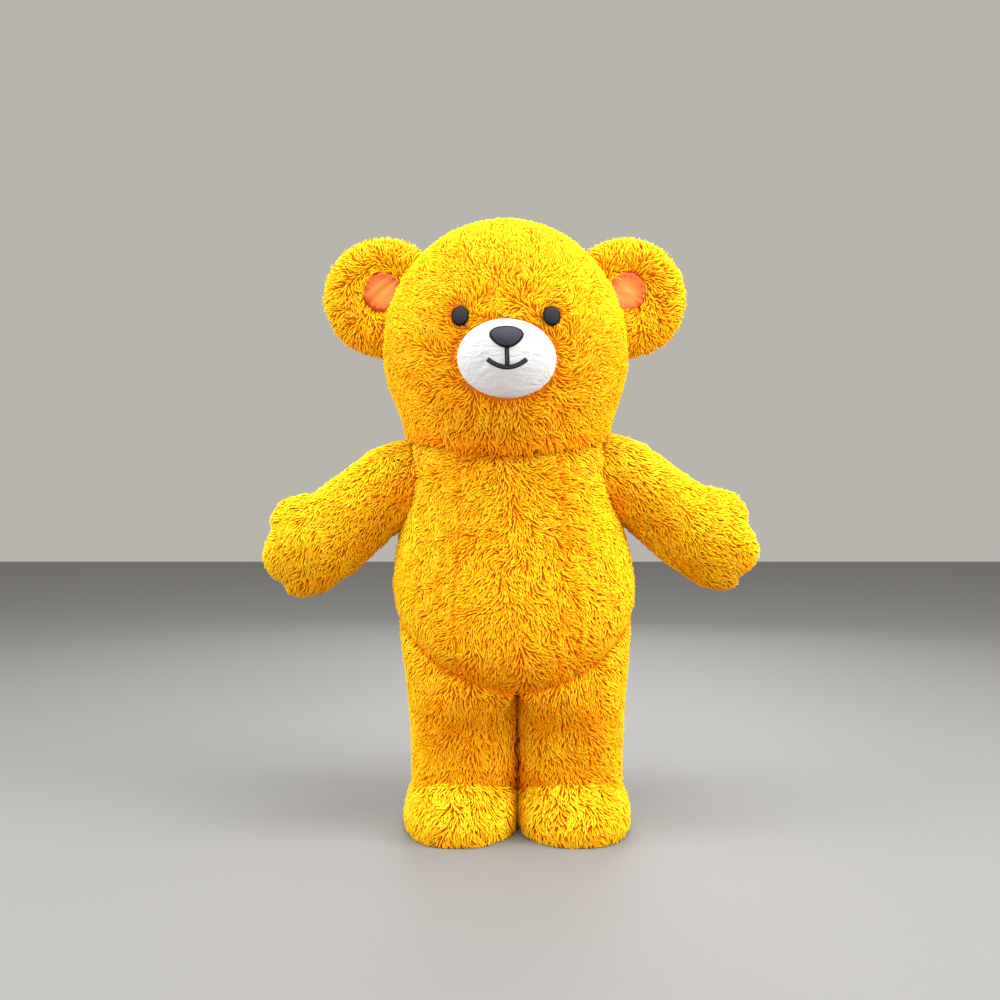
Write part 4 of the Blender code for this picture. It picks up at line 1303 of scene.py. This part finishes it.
def joined_stitches(name, stitches, half=0.00055):
    """One mesh of many threads, each three-sided along five points."""
    points, faces = [], []
    for line, along in stitches:
        first = len(points)
        for k, middle in enumerate(line):
            size = half * (0.45 if k in (0, 4) else 1.0)
            points += [middle - along * size, middle - np.array((0, 1.4, 0)) * size, middle + along * size]
        for k in range(4):
            a, b = first + 3 * k, first + 3 * k + 3
            faces += [(a, a + 1, b + 1, b), (a + 1, a + 2, b + 2, b + 1), (a + 2, a, b, b + 2)]
        faces += [(first, first + 2, first + 1), (first + 12, first + 13, first + 14)]
    data = bpy.data.meshes.new(name)
    data.from_pydata([tuple(p) for p in posed(np.array(points))], [], faces)
    data.shade_smooth()
    return new_object(name, data)


def make_face():
    """Muzzle, nose, mouth and eyes, and the stitches round the felt pieces."""
    white = muzzle_material()
    felt = felt_material("charcoal_felt", (0.040, 0.040, 0.054), (0.058, 0.058, 0.078))[0]
    black_felt = felt_material("black_felt", (0.020, 0.020, 0.024), (0.034, 0.034, 0.040))[0]
    thread = new_material("black_thread", 0.4, (0.003, 0.003, 0.004), specular=0.25)[0]

    muzzle_grid = disc(40, 120, (0, MUZZLE_HEIGHT), oval(*MUZZLE_SIZE), muzzle_lift, ON_FACE)
    muzzle = sewn_on("muzzle_pad", "muzzle", muzzle_grid, ON_FACE, CLOTH_OUT, white)
    on_muzzle = [tree_of(muzzle_grid, closed=True)]

    nose_height = MUZZLE_HEIGHT + NOSE_RISE
    nose_grid = disc(16, 72, (0, nose_height), nose_outline, nose_lift, on_muzzle)
    sewn_on("nose_felt", "nose", nose_grid, on_muzzle, FELT_BACK, felt)

    junction = nose_height - SMILE_DROP
    top, bottom = nose_height - NOSE_SIZE[1] - MOUTH_UNDER_NOSE, junction - SMILE_SAG + STROKE + 0.0004
    line = [(0.0, height) for height in np.linspace(top, bottom, 14)]
    smile = [(SMILE_HALF * math.sin(t), junction - SMILE_SAG * math.cos(t) ** 2)
             for t in np.radians(steps(-SMILE_TURN, SMILE_TURN, 2.5))]
    strokes = [stroke_grid(path, on_muzzle) for path in (line, smile)]
    for node, (grid, _) in zip(("mouth_line", "mouth_smile"), strokes):
        sewn_on(f"{node}_felt", node, grid, on_muzzle, FELT_BACK, felt, closed=False)

    everything = on_muzzle + [tree_of(nose_grid, True)] + [tree_of(grid) for grid, _ in strokes]
    stitches = satin_edge(ring_path((0, nose_height), nose_outline, 0.985), everything, 0.0060)
    for grid, edges in strokes:
        stitches += satin_edge(edges, everything, 0.0038)
    for name, side in SIDES:
        middle = (side * EYE_X, EYE_HEIGHT)
        grid = disc(12, 48, middle, oval(*EYE_SIZE), eye_lift, ON_FACE)
        sewn_on(f"eye_felt_{name}", f"eye_{name}", grid, ON_FACE, CLOTH_OUT, black_felt)
        stitches += satin_edge(ring_path(middle, oval(*EYE_SIZE), 0.93), [tree_of(grid, True), *ON_FACE], 0.0056)
    finish_piece(joined_stitches("applique_stitches", stitches), None, thread)


# ---- satin of the ears
def make_ear_patches():
    """Round gathered patches that line the ears' dishes."""
    satin = satin_material()
    share = np.linspace(0, 1, 22)[:, None]
    angle = np.linspace(0, 2 * math.pi, 96, endpoint=False)[None, :]
    x, z = EAR_PATCH_RADIUS * share * np.cos(angle), EAR_PATCH_RADIUS * share * np.sin(angle)
    lined = ear_dome(-1, np.hypot(x, z + EAR_PATCH_RISE) / EAR_RADIUS, 0.0)
    tuck = 0.0030 - 0.0105 * smooth(0.80, 1.0, share)
    for name, side in SIDES:
        pucker = 0.0018 * np.sin(13 * angle + 2.1 * np.sin(3 * angle + side)) * smooth(0.4, 0.9, share)
        folds = np.sin(95 * (x * side + 0.7 * z) + 2.2 * np.sin(38 * (z - 0.4 * x) + side))
        soft = 0.0019 * folds * np.sin(40 * z - 22 * x + 1.3) * (1 - share ** 2)
        middle = np.array((side * EAR_X, 0.0, EAR_HEIGHT + EAR_PATCH_RISE))
        outer = posed(middle + vec(x, -lined - tuck - pucker - soft, z))
        patch = shell(f"ear_satin_{name}", outer, outer + np.array((0, 0.0022, 0)), closed=True)
        # rim: distance from the patch's middle, which drives the satin's painted shade at its edge
        centre = posed(middle)
        rim = [math.hypot(v.co.x - centre[0], v.co.z - centre[2]) / EAR_PATCH_RADIUS for v in patch.data.vertices]
        patch.data.attributes.new("rim", "FLOAT", "POINT").data.foreach_set("value", rim)
        finish_piece(patch, f"ear_{name}_inner", satin)


# ---- soles
def finish_soles():
    """Grained rubber on the two soles of the CAD model."""
    material, tree, shader = new_material("sole_rubber", 0.8, (0.055, 0.050, 0.046))
    add_bump(tree, shader, new_node(tree, "TexNoise", Scale=240).outputs["Fac"], 0.5, 0.001)
    for name, _ in SIDES:
        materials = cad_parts[f"sole_{name}"].data.materials
        materials.clear()
        materials.append(material)


# ---- stage, light and camera
# columns: name, place, aimed at, size, energy, colour
LIGHTS = (
    ("hall_light", (0.3, -1.6, 6.5), (0, 0, 0), (6.0, 5.0), 750, (1, 1, 1)),
    ("right_light", (4.0, -1.6, 1.6), (0, 0, -0.1), (2.0, 3.0), 215, (1, 1, 1)),
    ("left_light", (-4.0, -1.0, 1.6), (0, 0, -0.1), (2.0, 3.0), 145, (1, 1, 1)),
    ("front_fill", (-0.4, -4.4, 0.6), (0, 0, -0.2), (3.0, 2.4), 68, (1.0, 0.96, 0.90)),
    ("back_fill", (0.5, 4.5, 1.6), (0, 0, -0.1), (3.5, 2.5), 110, (1, 1, 1)),
)


def set_stage():
    """World, floor, area lights and camera."""
    scene = bpy.context.scene
    scene.view_settings.view_transform = "Standard"
    scene.view_settings.look = "None"
    world = bpy.data.worlds.new("studio")
    scene.world = world
    world.use_nodes = True
    background = world.node_tree.nodes["Background"]
    background.inputs["Color"].default_value = (1.0, 0.95, 0.88, 1)
    background.inputs["Strength"].default_value = 0.48

    data = bpy.data.meshes.new("floor")
    data.from_pydata([(x * 14, y * 14, -HOLD_HEIGHT) for x, y in ((-1, -1), (1, -1), (1, 1), (-1, 1))],
                     [], [(0, 1, 2, 3)])
    data.materials.append(new_material("pale_floor", 0.6, (0.22, 0.22, 0.218))[0])
    new_object("floor", data)

    for name, place, aim, size, energy, colour in LIGHTS:
        light = bpy.data.lights.new(name, "AREA")
        light.shape = "RECTANGLE"
        light.size, light.size_y = size
        light.energy = energy
        light.color = colour
        lamp = new_object(name, light)
        lamp.location = place
        lamp.rotation_euler = (Vector(aim) - Vector(place)).to_track_quat("-Z", "Y").to_euler()

    camera = bpy.data.cameras.new("camera")
    camera.sensor_width = 36
    camera.lens = 36.108
    camera.dof.use_dof = False
    scene.camera = new_object("camera", camera)
    scene.camera.location = (-0.050, -3.366, 1.067 - HOLD_HEIGHT)
    scene.camera.rotation_euler = (math.pi / 2, 0, 0)


dress_body()
dress_arms()
dress_legs()
dress_head()
dress_ears()
make_face()
make_ear_patches()
finish_soles()
set_stage()
